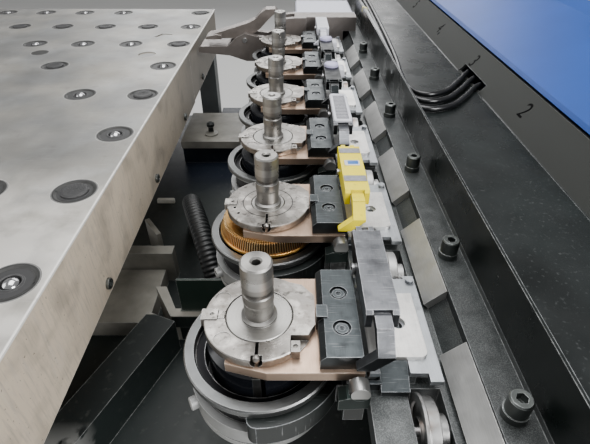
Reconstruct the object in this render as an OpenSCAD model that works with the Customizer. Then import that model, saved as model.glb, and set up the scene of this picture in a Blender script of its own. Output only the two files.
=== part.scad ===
// Tool magazine of a sheet punching machine, with its ball and brush table.
// X points across the machine to the right, Y along the tool rail, Z up.
// The origin is on the floor, in the middle of the whole outline.

/* [Station row] */
// Distance between neighbouring tool stations
pitch = 180; // [176:1:186]
// Place of the station axes across the machine
station_x = 170; // [166:1:174]
// Middle of the station row along the rail
row_y = -150; // [-155:1:-145]

/* [Punch] */
// Diameter of the punch shank
shank_d = 28; // [24:0.5:32]
// Height of the shank above its flange
shank_h = 65; // [55:1:75]
// Diameter of the flange that lies in the alignment ring
flange_d = 60; // [54:0.5:64]
// Thickness of the flange
flange_t = 7; // [5:0.5:8]
// Diameter of the punch body below the ring
body_d = 50; // [44:0.5:52]
// Diameter of the threaded hole in the top of the shank
draw_hole_d = 7.5; // [5:0.5:9]

/* [Alignment ring] */
// Outer diameter of the alignment ring
ring_d = 100; // [94:1:104]
// Thickness of the rim that lies on the jaw plate
ring_t = 9; // [8:0.5:12]
// Diameter of the hub that hangs in the fork
hub_d = 75; // [70:1:80]
// Width of the clamping slit
slit_w = 3; // [1.5:0.1:4]
// Diameter of the pocket for the clamp screw, which breaks through the rim
clamp_screw_d = 11; // [10:0.5:12]

/* [Jaw plate] */
// Thickness of the jaw plate
jaw_t = 10; // [8:0.5:12]
// Length of the jaw plate along the rail
jaw_len = 110; // [104:1:116]
// Distance from the station axis to the tips of the fork
jaw_reach = 27; // [22:1:32]

/* [Cassette] */
// Gap between the alignment ring and the cassette block
block_gap = 2.5; // [2:0.5:4]
// Width of the cassette block
block_w = 40.5; // [38:0.5:41]
// Length of the cassette block along the rail
block_len = 103; // [96:1:108]
// Height of the cassette block above the jaw plate
block_h = 16; // [14:0.5:18]
// Distance between the two cover screws
block_screw_gap = 41.2; // [36:0.2:46]
// Thickness of the lower fork
fork_t = 26; // [20:0.5:28]
// Width of the lower fork around the die
fork_w = 18; // [14:0.5:20]

/* [Die] */
// Outer diameter of the die ring
die_ring_d = 146; // [142:1:150]
// Inner diameter of the die ring
die_ring_bore = 125; // [118:1:128]
// Thickness of the die ring
die_ring_t = 8; // [6:0.5:9]
// Diameter of the die body
die_d = 140; // [136:1:142]
// Height of the die body
die_h = 68; // [62:1:74]
// Diameter of the slug hole in the die
slug_d = 32; // [24:1:40]
// Height of the punch guide below the jaw plate
guide_h = 46; // [40:1:48]
// Number of teeth on the toothed ring
teeth = 120; // [90:6:132]
// Outer diameter of the toothed ring at its foot
toothed_d = 120; // [116:1:122]

/* [Lock lever] */
// Length of the lock lever bar
lever_len = 111; // [104:1:116]
// Width of the lock lever bar
lever_w = 28; // [26:0.5:30]
// Diameter of the lever pin
lever_pin_d = 8; // [6:0.5:9]
// Height of the lever top above the table
lever_z = 62; // [58:1:66]

/* [Rail] */
// Height of the flat top of the rail above the table
rail_top = 23.4; // [22:0.2:26]
// Width of the flat top of the rail
rail_top_w = 29.9; // [28:0.5:34]
// Diameter of the guide roller rims
roller_d = 54; // [48:1:56]
// Diameter of the roller axles
axle_d = 10; // [8:0.5:12]
// Thickness of the wedge plates
wedge_t = 8; // [6:0.5:9]
// Length of each wedge plate
wedge_len = 119; // [110:1:122]
// Head diameter of the rail screws
rail_screw_d = 18; // [14:0.5:20]

/* [Trough and cover] */
// Height of the thin wall left of the trough, above the rail
wall_h = 61; // [54:1:68]
// Width of the trough floor
floor_w = 165; // [160:1:168]
// Rise of the sloping number strip
strip_rise = 38; // [34:1:42]
// Thickness of the trough sheet
sheet_t = 3; // [2:0.5:4]
// Highest point of the side cover above the table
cover_z = 152; // [140:1:160]
// Diameter of the hoses in the trough
hose_d = 10; // [8:0.5:10]

/* [Table] */
// Height of the table top above the floor
table_z = 900; // [880:1:930]
// Length of the table and of the rail
table_len = 1530; // [1520:2:1560]
// Width of the table
table_w = 739; // [734:1:745]
// Right edge of the table
table_right = -61; // [-70:1:-61]
// Height of the folded apron
apron_h = 131; // [120:1:140]
// Thickness of the table plate
plate_t = 4; // [3:0.5:6]
// Thickness of the apron
apron_t = 6; // [4.5:0.5:8]
// Diameter of the ball and brush inserts
insert_d = 62; // [56:1:66]
// Distance between insert columns
insert_dx = 125.6; // [120:0.2:128]
// Distance between insert rows
insert_dy = 177.5; // [172:0.5:178]
// Diameter of the steel balls
ball_d = 22; // [18:0.5:26]
// How far the balls stand above the table
ball_proud = 3; // [2:0.5:4]

/* [Sheet clamp] */
// Length of the clamp along the rail
clamp_len = 72; // [64:1:76]
// Length of the carriage behind the clamp
carriage_len = 150; // [120:1:155]
// Near face of the clamp along the rail
clamp_y = 385; // [382:1:390]
// Opening of the clamp mouth
mouth_h = 16; // [12:1:20]
// Diameter of the clamp hinge pin
clamp_pin_d = 12; // [10:0.5:14]

/* [Bed] */
// Depth of the rail below the table top
rail_depth = 64; // [60:1:74]
// Width of the pedestal under the rail
pedestal_w = 180; // [170:1:190]
// Side of the square base beams
base_beam = 100; // [80:1:110]
// Height of the levelling feet
foot_h = 50; // [46:1:60]
// Diameter of the foot pads
foot_d = 80; // [70:1:90]
// Width of the guide rails
guide_w = 28; // [24:1:30]
// Height of the guide rails
guide_rail_h = 24; // [22:1:26]

/* [Hidden] */
NAMED = [for (name = ["punch", "align_ring", "cassette", "lock_lever", "die", "roller"])
         for (k = [1:6]) str(name, "_", k)];
$fn = 64;
// Seat clearance between pieces that rest in each other, and running clearance on a pin
seat = 0.3;
run = 0.05;
// A cut reaches this far past the face it starts from
over = 1;
stations = 6;
toothed_station = 2;

function station_y(k) = row_y + (k - 3.5) * pitch;

// The cassette block stands beside the ring, and the guide hangs flush with the ring's edge
block_x = ring_d / 2 + block_gap;
block_right = block_x + block_w;
guide_d = ring_d;
// Seat of the clamp screw: a pocket at the front of the slit
clamp_seat_y = -ring_d / 2 + 6;

// Heights of the stack in a station, from the table up
jaw_z = table_z + 9;
ring_z = jaw_z + jaw_t;
flange_z = ring_z + ring_t - flange_t;
punch_top = ring_z + ring_t + shank_h;
hub_z = jaw_z - 4;
guide_z = jaw_z - seat - guide_h;
punch_foot_t = 4;
punch_foot_z = guide_z - seat - punch_foot_t;
throat_r = hub_d / 2 + seat;
clamp_screw_z = ring_z + clamp_screw_d / 2 + 0.8;

// The die stands in the lower fork
die_top = table_z - 10;
groove_r = die_d / 2 - 8;
fork_z = die_top - die_ring_t - 3 - fork_t;
die_bottom = die_top - die_ring_t - die_h;
cavity_r = guide_d / 2 + 4;
cavity_floor = punch_foot_z - 6;

// The rail stands right of the stations
shelf_top = table_z - 2;
shelf_t = 20;
shelf_x = station_x + block_right + 1;
rail_z = table_z + rail_top;
rail_x = station_x + 181.7;
rail_right = rail_x + rail_top_w;
slope_drop = 10;
slope_x = rail_x - slope_drop - 5.3;
trough_z = rail_z + 6.6;
trough_right = rail_right + floor_w;
strip_top = trough_z + 10 + strip_rise;
strip_right = trough_right + strip_rise;
carriage_z = table_z - rail_depth;
bed_h = carriage_z - guide_rail_h - 12;
cover_right = table_w - table_right;
cover_top = table_z + cover_z;
cover_flat = 66;

// Brackets and cover plates carry the lever and guide the cassette
bracket_x = block_right + 1.3;
bracket_w = 59.7;
bracket_t = 5;
pad_t = 13;
pad_z = shelf_top + pad_t;
cover_plate_t = 4;
tongue_x = block_right + 10.3;
tongue_w = 24.4;
tongue_front = -63;
stub_front = -58;

// The lever is a channel over a lug
lever_x = block_right - 3;
lever_back = 83;
leg_front = -61;
block_top = ring_z + block_h;
lever_pivot_y = 45;
lever_pivot_z = table_z + 42.5;
lever_web = 7;
lever_wall = 6;
lever_swing_r = 19;

roller_y = -88;
roller_z = table_z - 12;
roller_x = 130;
roller_rim_w = 13;
roller_hub_w = 10;
axle_x = 122;
axle_len = 38;

clamp_pivot_x = 72;
clamp_pivot_z = table_z + 2;
jaw_w = 36;

pedestal_x = station_x + 200;
pedestal_right = pedestal_x + pedestal_w;
guide_a = rail_x + 48;
guide_b = rail_x + 148;
block_long = 110;
block_gap_y = 700;
guide_block_w = 60;

// A block whose plan outline stands between two heights
module block_between(from, to) {
    translate([0, 0, from]) linear_extrude(to - from) children();
}

// Moves its children to station k
module at_station(k) {
    translate([station_x, station_y(k), 0]) children();
}

// A box from one corner to the other
module span(from, to) {
    translate(from) cube(to - from);
}

// A bar whose outline lies in the XZ plane, drawn from y to y + len
module across(y, len) {
    translate([0, y + len, 0]) rotate([90, 0, 0]) linear_extrude(len) children();
}

// A round pin along X
module pin_x(x, y, z, d, len) {
    translate([x, y, z]) rotate([0, 90, 0]) cylinder(d = d, h = len);
}

// A round pin along Y
module pin_y(x, y, z, d, len) {
    translate([x, y, z]) rotate([-90, 0, 0]) cylinder(d = d, h = len);
}

// A socket head with a hexagon in it, its underside at z = 0
module socket_head(d, h) {
    difference() {
        rotate_extrude() polygon([[0, 0], [d / 2, 0], [d / 2, h - d / 14],
            [d / 2 - d / 14, h], [0, h]]);
        translate([0, 0, h / 2]) cylinder(d = d * 0.52, h = h, $fn = 6);
    }
}

// The punch: shank with its neck and bands, flange, body and foot, turned in one piece
module punch(k) {
    r = shank_d / 2;
    slim = k == toothed_station;
    neck = slim ? 1.6 : 0.9;
    top = punch_top;
    base = ring_z + ring_t;
    collar_r = slim ? 20 : flange_d / 2;
    color("gainsboro") at_station(k) difference() {
        rotate_extrude() polygon([[0, punch_foot_z], [body_d / 2 + 3, punch_foot_z],
            [body_d / 2 + 3, punch_foot_z + punch_foot_t], [body_d / 2, punch_foot_z + punch_foot_t],
            [body_d / 2, flange_z], [collar_r, flange_z], [collar_r, base - 0.6], [collar_r - 0.6, base],
            [r + 2.2, base], [r + 2.2, base + 2.5], [r - 0.6, base + 4],
            [r - 0.6, base + shank_h * 0.30], [r, base + shank_h * 0.34],
            [r, base + shank_h * 0.47], [r - neck, base + shank_h * 0.49],
            [r - neck, base + shank_h * 0.55], [r, base + shank_h * 0.57],
            [r, top - 1.6], [r - 1.6, top], [0, top]]);
        translate([0, 0, top - 22]) cylinder(d = draw_hole_d, h = 22 + over);
        translate([0, 0, top - 1.5]) cylinder(d1 = draw_hole_d, d2 = draw_hole_d + 4, h = 1.5 + over / 9);
    }
}

// A block with a round recess in its top, like a key held by a sunk screw
module key_block(from, to, d) {
    difference() {
        span(from, to);
        translate([(from[0] + to[0]) / 2, (from[1] + to[1]) / 2, to[2] - 1.4])
            cylinder(d = d, h = 1.4 + over);
    }
}

// Loose pieces on the alignment ring: key clip over the rim, its stop, stop block and clamp screw
module ring_fittings(plain) {
    top = ring_z + ring_t;
    edge = -ring_d / 2;
    key_block([edge + 2, -6.2, top - 4], [edge + 12.5, 6.2, top + 1], 4);
    span([edge - 2.4, -6.2, ring_z + 1.5], [edge + 2.2, 6.2, top + 1]);
    span([edge + 13, -4.2, top - 4], [-31.4, 4.2, top + 0.3]);
    if (!plain) key_block([28.8, -41, ring_z + 1], [36.4, -29.5, top + 0.6], 4.5);
    translate([0, clamp_seat_y, clamp_screw_z]) rotate([90, 0, 0]) rotate_extrude()
        polygon([[0, 0], [clamp_screw_d * 0.34, 0], [clamp_screw_d * 0.34, 2],
            [clamp_screw_d * 0.3, 3.4], [clamp_screw_d * 0.18, 4.4], [0, 4.8]]);
}

// Outline of the lug on the ring's rim, flat towards the cassette block and chamfered at both ends
module ring_lug() {
    r = ring_d / 2;
    polygon([[0.24 * r, 0.92 * r], [0.78 * r, 0.75 * r], [r + seat, 0.47 * r], [r + seat, -0.22 * r],
        [0.86 * r, -0.45 * r], [0.6 * r, -0.7 * r], [flange_d / 2 + 2, 0.2 * r]]);
}

// The alignment ring: rim on the jaw plate and hub in its fork, slit and clamped at the front
module align_ring(k) {
    plain = k == toothed_station;
    bore = body_d / 2 + seat;
    seat_r = (plain ? 20 : flange_d / 2) + seat;
    top = ring_z + ring_t;
    color("silver") at_station(k) difference() {
        union() {
            rotate_extrude() polygon([[bore, hub_z], [hub_d / 2, hub_z], [hub_d / 2, ring_z],
                [ring_d / 2 - 0.8, ring_z], [ring_d / 2, ring_z + 0.8], [ring_d / 2, top - 0.8],
                [ring_d / 2 - 0.8, top], [seat_r + 0.8, top], [seat_r, top - 0.8], [seat_r, flange_z],
                [bore, flange_z]]);
            translate([0, 0, ring_z]) linear_extrude(ring_t) ring_lug();
        }
        translate([-slit_w / 2, -ring_d, hub_z - over])
            cube([slit_w, ring_d - bore + over, ring_t + ring_z - hub_z + 2 * over]);
        translate([0, clamp_seat_y, clamp_screw_z]) rotate([90, 0, 0])
            cylinder(d = clamp_screw_d, h = ring_d);
        if (plain) {
            for (a = [196, 214]) rotate(a) translate([ring_d / 2 - 9, 0, top - 4])
                cylinder(d = 4, h = 4 + over);
        } else {
            span([28.2, -46, ring_z + 1], [ring_d, -23, ring_z + ring_t + over]);
            for (a = [150, 222]) rotate(a) translate([ring_d / 2 - 9.5, 0, top - 0.6])
                cylinder(d = 15, h = 0.6 + over);
        }
        span([-ring_d, -6.5, top - 4], [-ring_d / 2 + 12.8, 6.5, top + over]);
        span([-ring_d / 2 + 12, -4.5, top - 4], [-31, 4.5, top + over]);
        span([-ring_d, -6.5, ring_z - over], [-ring_d / 2 + 1.2, 6.5, top]);
    }
    color("silver") at_station(k) ring_fittings(plain);
}

// Outline of the jaw plate: a C-shaped fork that opens away from the rail
module jaw_outline() {
    half = jaw_len / 2;
    right = block_right - 3;
    difference() {
        polygon([[right, -half], [8.5, -half], [-jaw_reach, -half + 9.4], [-jaw_reach, half - 9.4],
            [8.5, half], [right, half]]);
        circle(r = throat_r);
        translate([-2 * throat_r, -throat_r * 0.72]) square([2 * throat_r, throat_r * 1.44]);
    }
}

module jaw_plates() {
    color("rosybrown") for (k = [1:stations]) at_station(k)
        translate([0, 0, jaw_z]) linear_extrude(jaw_t) jaw_outline();
}

// Outline of the lower fork that holds the die by its groove
module fork_outline() {
    inner = groove_r + seat;
    outer = inner + fork_w;
    tip = 90.5;
    difference() {
        union() {
            intersection() {
                circle(r = outer);
                polygon([[0, 0], [3 * outer * cos(-tip), 3 * outer * sin(-tip)], [3 * outer, -3 * outer],
                    [3 * outer, 3 * outer], [3 * outer * cos(tip), 3 * outer * sin(tip)]]);
            }
            for (side = [-1, 1]) rotate(side * tip) translate([inner + fork_w / 2, 0])
                circle(d = fork_w - 2 * seat);
            translate([0, -40]) square([block_right, 80]);
        }
        circle(r = inner);
    }
}

// The cassette: block on the jaw plate, spine, lower fork and the tongue that the bracket guides
module cassette(k) {
    right = block_right;
    top = block_top;
    half = block_len / 2;
    bevel = 5;
    spine_x = block_right - 18;
    color("dimgray") at_station(k) difference() {
        union() {
            across(-half, block_len) polygon([[block_x, ring_z], [block_x, top - bevel],
                [block_x + bevel, top], [right - bevel, top], [right, top - bevel], [right, ring_z]]);
            translate([block_x - 1.5, -10, ring_z]) cube([10, 14, block_h + 1.5]);
            translate([right - 3 + seat, -40, fork_z]) cube([3 - seat, 80, ring_z - fork_z + over]);
            translate([spine_x, -40, fork_z]) cube([right - spine_x, 80, jaw_z - seat - fork_z]);
            translate([0, 0, fork_z]) linear_extrude(fork_t) fork_outline();
            span([spine_x, stub_front, fork_z], [right, -39, jaw_z - seat]);
            span([right - over, stub_front, shelf_top + seat], [tongue_x + over, -54, table_z + 8]);
            translate([tongue_x, 0, 0]) rotate([90, 0, 90]) linear_extrude(tongue_w)
                polygon([[tongue_front, shelf_top + seat], [tongue_front, table_z + 4],
                    [-40, table_z + 15.5], [30, table_z + 15.5], [30, shelf_top + seat]]);
        }
        for (s = [-1, 1]) translate([block_x + 20.2, s * block_screw_gap / 2, top - 3]) {
            cylinder(d = 16, h = 3 + over);
            translate([0, 0, -6]) cylinder(d = 6, h = 7);
        }
        // Relief under the lever, whose back dips as its front lifts
        pin_x(lever_x - over, lever_pivot_y, lever_pivot_z, 2 * lever_swing_r, right - lever_x + 2 * over);
    }
    color("gray") at_station(k) for (s = [-1, 1])
        translate([block_x + 20.2, s * block_screw_gap / 2, top - 3]) difference() {
            cylinder(d = 11.6, h = 1.8);
            translate([0, 0, 0.6]) cylinder(d = 5.2, h = 2, $fn = 6);
        }
}

// Die ring, body with the groove of the lower fork, cavity for the punch guide and slug hole
module die(k) {
    r = die_d / 2;
    body_top = die_top - die_ring_t;
    foot = die_bottom;
    color("lightgray") at_station(k) {
        rotate_extrude() polygon([[die_ring_bore / 2, body_top], [die_ring_d / 2 - 1, body_top],
            [die_ring_d / 2, body_top + 1], [die_ring_d / 2, die_top - 1.2], [die_ring_d / 2 - 1.2, die_top],
            [die_ring_bore / 2 + 1, die_top], [die_ring_bore / 2, die_top - 1]]);
        difference() {
            rotate_extrude() polygon([[slug_d / 2, foot], [r - 7, foot], [r - 6, foot + 4],
                [r - 6, foot + 8], [r - 1, foot + 9], [r - 1, foot + 15], [r - 4, foot + 16],
                [r - 4, foot + 19], [r, foot + 20], [r, fork_z - seat], [groove_r, fork_z - seat],
                [groove_r, fork_z + fork_t + seat], [r, fork_z + fork_t + seat], [r, body_top],
                [cavity_r, body_top], [cavity_r, cavity_floor], [slug_d / 2, cavity_floor]]);
            // Hole with a sunk edge beside the fork's tip
            rotate(257) translate([groove_r, 0, fork_z + fork_t / 2]) rotate([0, 90, 0]) {
                translate([0, 0, -1]) cylinder(d = 13, h = 2 * over);
                translate([0, 0, -5]) cylinder(d = 9.5, h = 5);
            }
        }
        rotate(209) translate([r - 1, 0, fork_z - 9]) rotate([0, 90, 0])
            socket_head(13, 8);
    }
}

// Black guides that hang round the punch bodies, slit at the front
module punch_guides() {
    color("black") for (k = [1:stations]) if (k != toothed_station) at_station(k) difference() {
        rotate_extrude() polygon([[body_d / 2 + seat, guide_z], [guide_d / 2 - 3, guide_z],
            [guide_d / 2, guide_z + 3], [guide_d / 2, guide_z + guide_h - 7],
            [hub_d / 2 + 1.5, guide_z + guide_h], [hub_d / 2 + 1.5, hub_z - seat],
            [body_d / 2 + seat, hub_z - seat]]);
        span([-4.5, -guide_d, guide_z - over], [6.5, -body_d / 4, guide_z + guide_h + over]);
    }
    // A key along one side of each slot keeps the punch from turning
    color("silver") for (k = [1:stations]) if (k != toothed_station) at_station(k)
        span([-4.5 - over, -guide_d / 2 + 1.5, guide_z + 1],
            [2.2, -body_d / 2 - 2 * seat, guide_z + guide_h - 8]);
}

// Tooth outline of the ring: four points for each tooth
function tooth_points(r, depth) = [for (i = [0:4 * teeth - 1])
    let (a = 360 * (i + 0.5) / (4 * teeth), h = (i % 4 < 2) ? r : r - depth)
    [h * cos(a), h * sin(a)]];

// The toothed ring of the turning tool, with the plain guide below it
module toothed_ring() {
    band = 19;
    flange = 4;
    foot_r = toothed_d / 2;
    low = guide_z + guide_h - band;
    color("goldenrod") at_station(toothed_station) difference() {
        union() {
            translate([0, 0, low]) rotate_extrude() polygon([[0, 0], [foot_r, 0], [foot_r + 1, 1],
                [foot_r + 0.6, flange - 0.6], [foot_r, flange], [0, flange]]);
            translate([0, 0, low + flange - over / 4])
                linear_extrude(band - flange - 2, scale = 0.935) polygon(tooth_points(foot_r, 2.2));
            translate([0, 0, low + band - 2 - over / 2])
                cylinder(r = foot_r * 0.89, h = 2 + over / 2);
            translate([0, 0, guide_z]) cylinder(d = guide_d, h = guide_h - band + over / 4);
        }
        translate([0, 0, guide_z - over]) cylinder(r = body_d / 2 + seat, h = guide_h + 2 * over);
        translate([0, 0, hub_z - seat]) cylinder(r = hub_d / 2 + 1.5, h = guide_h);
    }
}

// Claws that the lever feet press on, in front of each cassette's corner: hook and round nub
module catches() {
    right = shelf_x - station_x - 2 * seat;
    z = fork_z + fork_t;
    color("slategray") for (k = [1:stations]) at_station(k) union() {
        across(stub_front - 13, 13) polygon([[right - 26, z + 12], [right - 26, z + 25],
            [right - 19, z + 28], [right, z + 30], [right, z + 14]]);
        across(stub_front - 15, 12) translate([right - 9, z + 36]) circle(r = 8);
        across(stub_front - 9, 9) translate([right - 17, z + 24]) square([15, 12]);
    }
}

// Side outline of the lever: y and z, with the pivot bulge near its back
module lever_side(bottom) {
    front = lever_back - lever_len;
    top = table_z + lever_z;
    difference() {
        union() {
            polygon([[front, top - 18], [front, top - 3], [front + 3, top], [lever_back - 3, top],
                [lever_back, top - 3], [lever_back, top - 14], [lever_pivot_y + 14, bottom + 3],
                [lever_pivot_y - 14, bottom + 3], [front + 22, top - 20]]);
            translate([lever_pivot_y, lever_pivot_z]) circle(r = lever_pivot_z - bottom);
        }
        translate([lever_pivot_y, lever_pivot_z]) circle(r = lever_pin_d / 2 + run);
    }
}

// The lock lever: two walls, a web on top, end tabs and the leg that drops to the catch
module lock_lever(k) {
    front = lever_back - lever_len;
    top = table_z + lever_z;
    bottom = block_top + 0.8;
    mid = lever_x + lever_w / 2;
    col = k == toothed_station ? "gold" : (k == stations ? "lavender" : "dimgray");
    color(col) at_station(k) {
        difference() {
            union() {
                for (x = [lever_x, lever_x + lever_w - lever_wall]) translate([x, 0, 0])
                    rotate([90, 0, 90]) linear_extrude(lever_wall) lever_side(bottom);
                span([lever_x, front + 3, top - lever_web], [lever_x + lever_w, lever_back - 3, top]);
                span([mid - 9, lever_back - 4, top - 12], [mid + 9, lever_back + 9, top - 4]);
                span([mid - 7, front - 14, top - 12], [mid + 7, front + 4, top - 4]);
            }
            span([mid - 3.5, lever_back + 3, top - 20], [mid + 3.5, lever_back + 20, top]);
        }
        hull() {
            span([mid - 7, front - 14, top - 12], [mid + 7, front - 6, top - 5]);
            span([mid - 7, leg_front + 2, top - 20], [mid + 7, leg_front + 11, top - 18]);
        }
        hull() {
            span([mid - 7, leg_front + 2, top - 20], [mid + 7, leg_front + 11, top - 18]);
            span([mid - 23, leg_front, block_top - 5], [mid - 9, leg_front + 8, block_top - 3]);
        }
    }
}

// Lever pins, roller axles and the hinge pin of the clamp
module pivot_pins() {
    color("silver") {
        for (k = [1:stations]) at_station(k) {
            pin_x(lever_x - seat, lever_pivot_y, lever_pivot_z, lever_pin_d, lever_w + 2 * seat);
            pin_x(lever_x - 3, lever_pivot_y, lever_pivot_z, lever_pin_d + 3, 3 - seat);
            pin_x(lever_x + lever_w + seat, lever_pivot_y, lever_pivot_z, lever_pin_d + 3, 2.5);
            translate([0, roller_y, 0]) pin_x(axle_x, 0, roller_z, axle_d, axle_len);
        }
        pin_y(clamp_pivot_x, clamp_y - 3, clamp_pivot_z, clamp_pin_d, clamp_len + 6);
    }
}

// Outline of the bracket in plan: a notch at the front leaves room for the cassette's tongue
module bracket_outline() {
    right = bracket_x + bracket_w;
    difference() {
        polygon([[bracket_x, -53], [tongue_x - seat, -53], [tongue_x - seat, -39],
            [tongue_x + tongue_w + seat, -39], [tongue_x + tongue_w + seat, -53],
            [right - 11, -53], [right - 11, -61], [right, -61], [right, 62], [right - 11, 62],
            [right - 11, 58], [bracket_x, 58]]);
        translate([bracket_x + 31.7, -3]) circle(d = 9);
    }
}

// The aluminium brackets: plate with a channel below for the tongue, a lug for the lever pin
module station_brackets() {
    right = bracket_x + bracket_w;
    top = pad_z + bracket_t;
    lug_x = lever_x + lever_wall + seat;
    lug_w = lever_w - 2 * (lever_wall + seat);
    color("lightsteelblue") for (k = [1:stations]) at_station(k) difference() {
        union() {
            translate([0, 0, pad_z]) linear_extrude(bracket_t) bracket_outline();
            translate([lug_x, 0, 0]) rotate([90, 0, 90]) linear_extrude(lug_w) union() {
                translate([lever_pivot_y, lever_pivot_z]) circle(r = 7);
                polygon([[lever_pivot_y - 7, lever_pivot_z], [lever_pivot_y - 8, top - over],
                    [lever_pivot_y + 8, top - over], [lever_pivot_y + 7, lever_pivot_z]]);
            }
            translate([right - 5.5, 54, top - over]) cylinder(d = 8, h = 4 + over);
        }
        span([tongue_x - seat, -62, pad_z - over],
            [tongue_x + tongue_w + seat, 31, table_z + 15.8]);
        pin_x(lug_x - over, lever_pivot_y, lever_pivot_z, lever_pin_d, lug_w + 2 * over);
    }
}

// Bright plates on the brackets, with one rounded corner and a round hole
module cover_plates() {
    z = pad_z + bracket_t;
    w = 51.3;
    r = 7;
    color("white") for (k = [1:stations]) at_station(k) translate([bracket_x, -40, z])
        linear_extrude(cover_plate_t) difference() {
            union() {
                square([w - r, 74]);
                translate([0, r]) square([w, 74 - r]);
                translate([w - r, r]) circle(r = r);
            }
            translate([31.7, 37]) circle(d = 13);
        }
}

// Free-turning rollers: rim and hub on one side
module roller(k) {
    bore = axle_d / 2 + run;
    r = roller_d / 2;
    x = roller_x;
    w = roller_rim_w;
    color("lightgray") at_station(k) translate([x, roller_y, roller_z]) rotate([0, 90, 0])
        rotate_extrude() polygon([[bore, 0], [r * 0.42, 0], [r * 0.42, 2], [r * 0.82, 2],
            [r * 0.86, 0], [r + 2.5, 0], [r + 3, 0.5], [r + 3, 2.5], [r, 4], [r, w - 1],
            [r - 1, w], [r * 0.5, w],
            [r * 0.5, w + roller_hub_w - 1], [r * 0.5 - 1, w + roller_hub_w], [bore, w + roller_hub_w]]);
}

// Section of the rail across the machine, with its chambers
module rail_section() {
    foot_x = slope_x;
    low = carriage_z;
    difference() {
        polygon([[shelf_x, shelf_top - shelf_t], [shelf_x, shelf_top], [foot_x, shelf_top],
            [rail_x, shelf_top + rail_x - foot_x], [rail_x, rail_z], [rail_right, rail_z],
            [rail_right, trough_z], [trough_right, trough_z], [trough_right, low + 14],
            [cover_right - 4, low + 14], [cover_right - 4, low], [rail_x - 6, low],
            [foot_x, low + 10]]);
        span2([rail_x + 12, low + 12], [rail_x + 92, trough_z - 18]);
        span2([rail_x + 104, low + 12], [trough_right - 12, trough_z - 12]);
        translate([shelf_x + 26, shelf_top - shelf_t - 16]) square([22, 10]);
    }
}

// A rectangle from one corner to the other
module span2(from, to) {
    translate(from) square(to - from);
}

// Pad on the shelf that carries a bracket, with the channel for the cassette's tongue
module station_pad() {
    right = slope_x - station_x - 12;
    difference() {
        span([bracket_x, -51, shelf_top - over], [right, 56, pad_z]);
        span([tongue_x - seat, -62, shelf_top], [tongue_x + tongue_w + seat, 31, pad_z + over]);
        span([tongue_x + tongue_w + 7, -60, shelf_top], [right + over, -45, pad_z + over]);
    }
}

// The rail: one long profile with a pocket for each roller and a bore for its axle
module rail_beam() {
    pocket_x = station_x + roller_x - 4;
    pocket_w = roller_rim_w + roller_hub_w + 6;
    pocket_y = roller_d + 10;
    color("darkslategray") difference() {
        union() {
            across(-table_len / 2, table_len) rail_section();
            for (k = [1:stations]) at_station(k) station_pad();
        }
        for (k = [1:stations]) {
            translate([pocket_x, station_y(k) + roller_y - pocket_y / 2, shelf_top - 60])
                cube([pocket_w, pocket_y, 60 + over]);
            translate([station_x, station_y(k), 0])
                pin_x(axle_x, roller_y, roller_z, axle_d, axle_len);
        }
        for (k = screw_places) translate([rail_x + 13.3, station_y(k) - 94, rail_z - 20])
            cylinder(d = 9, h = 20 + over);
    }
}

// Plates at 45 degrees that the rail carries between the stations
module wedge_plates() {
    t = wedge_t / sqrt(2);
    x = slope_x + seat;
    z = shelf_top + seat;
    right = rail_x - seat;
    top = rail_z - 0.2;
    top_x = x + top - z - 2 * t;
    color("lightgray") for (k = [0:stations - 1])
        across(station_y(k) + 34, wedge_len)
            polygon([[x, z], [x - t, z + t], [top_x, top], [right, top - right + top_x],
                [right, z + right - x]]);
}

// Places of the rail screws, counted in stations; the clamp stands at place 7
screw_places = concat([for (k = [1:stations]) k], [stations + 3]);

// Socket screws on spacers along the flat top of the rail
module rail_screws() {
    color("gray") for (k = screw_places)
        translate([rail_x + 13.3, station_y(k) - 94, rail_z]) {
            cylinder(d = rail_screw_d + 2, h = 7);
            translate([0, 0, 7]) socket_head(rail_screw_d, 15);
            translate([0, 0, -14]) cylinder(d = 8.4, h = 14 + over);
        }
}

// The trough for the hoses: wall, floor and the sloping number strip in one folded sheet
module cable_trough() {
    t = sheet_t;
    z = trough_z;
    k = t / sqrt(2);
    top = rail_z + wall_h;
    color("darkslategray") difference() {
        across(-table_len / 2, table_len)
            polygon([[rail_right, z], [rail_right, top], [rail_right + t, top], [rail_right + t, z + t],
                [trough_right - 7, z + t], [strip_right - t, strip_top], [strip_right, strip_top],
                [strip_right, strip_top - 2 * t], [trough_right - 7 + 2 * k, z]]);
        span([trough_right - 9, hose_exit_y - 62, z + t], [trough_right + 12, hose_exit_y + 62, z + 17]);
    }
}

// Section of the side cover: lip, long slope, flat top and the back wall
module cover_section() {
    t = sheet_t;
    x = strip_right - 3;
    z = strip_top + 5;
    crest = cover_right - cover_flat;
    low = carriage_z;
    polygon([[x, z], [x + 4, z + 6], [crest, cover_top], [cover_right, cover_top],
        [cover_right, low], [cover_right - t, low], [cover_right - t, cover_top - t],
        [crest + 1, cover_top - t], [x + 6, z + 2], [x + 3, z - 1]]);
}

// The side cover: a long folded sheet closed by a plate at both ends
module side_cover() {
    t = sheet_t;
    low = carriage_z + 14 + seat;
    color("steelblue") {
        across(-table_len / 2, table_len) cover_section();
        for (y = [-table_len / 2, table_len / 2 - t]) across(y, t)
            polygon([[strip_right + 1, low], [strip_right + 1, strip_top + 3],
                [cover_right - cover_flat, cover_top - 1], [cover_right - 1, cover_top - 1],
                [cover_right - 1, low]]);
    }
}

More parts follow.
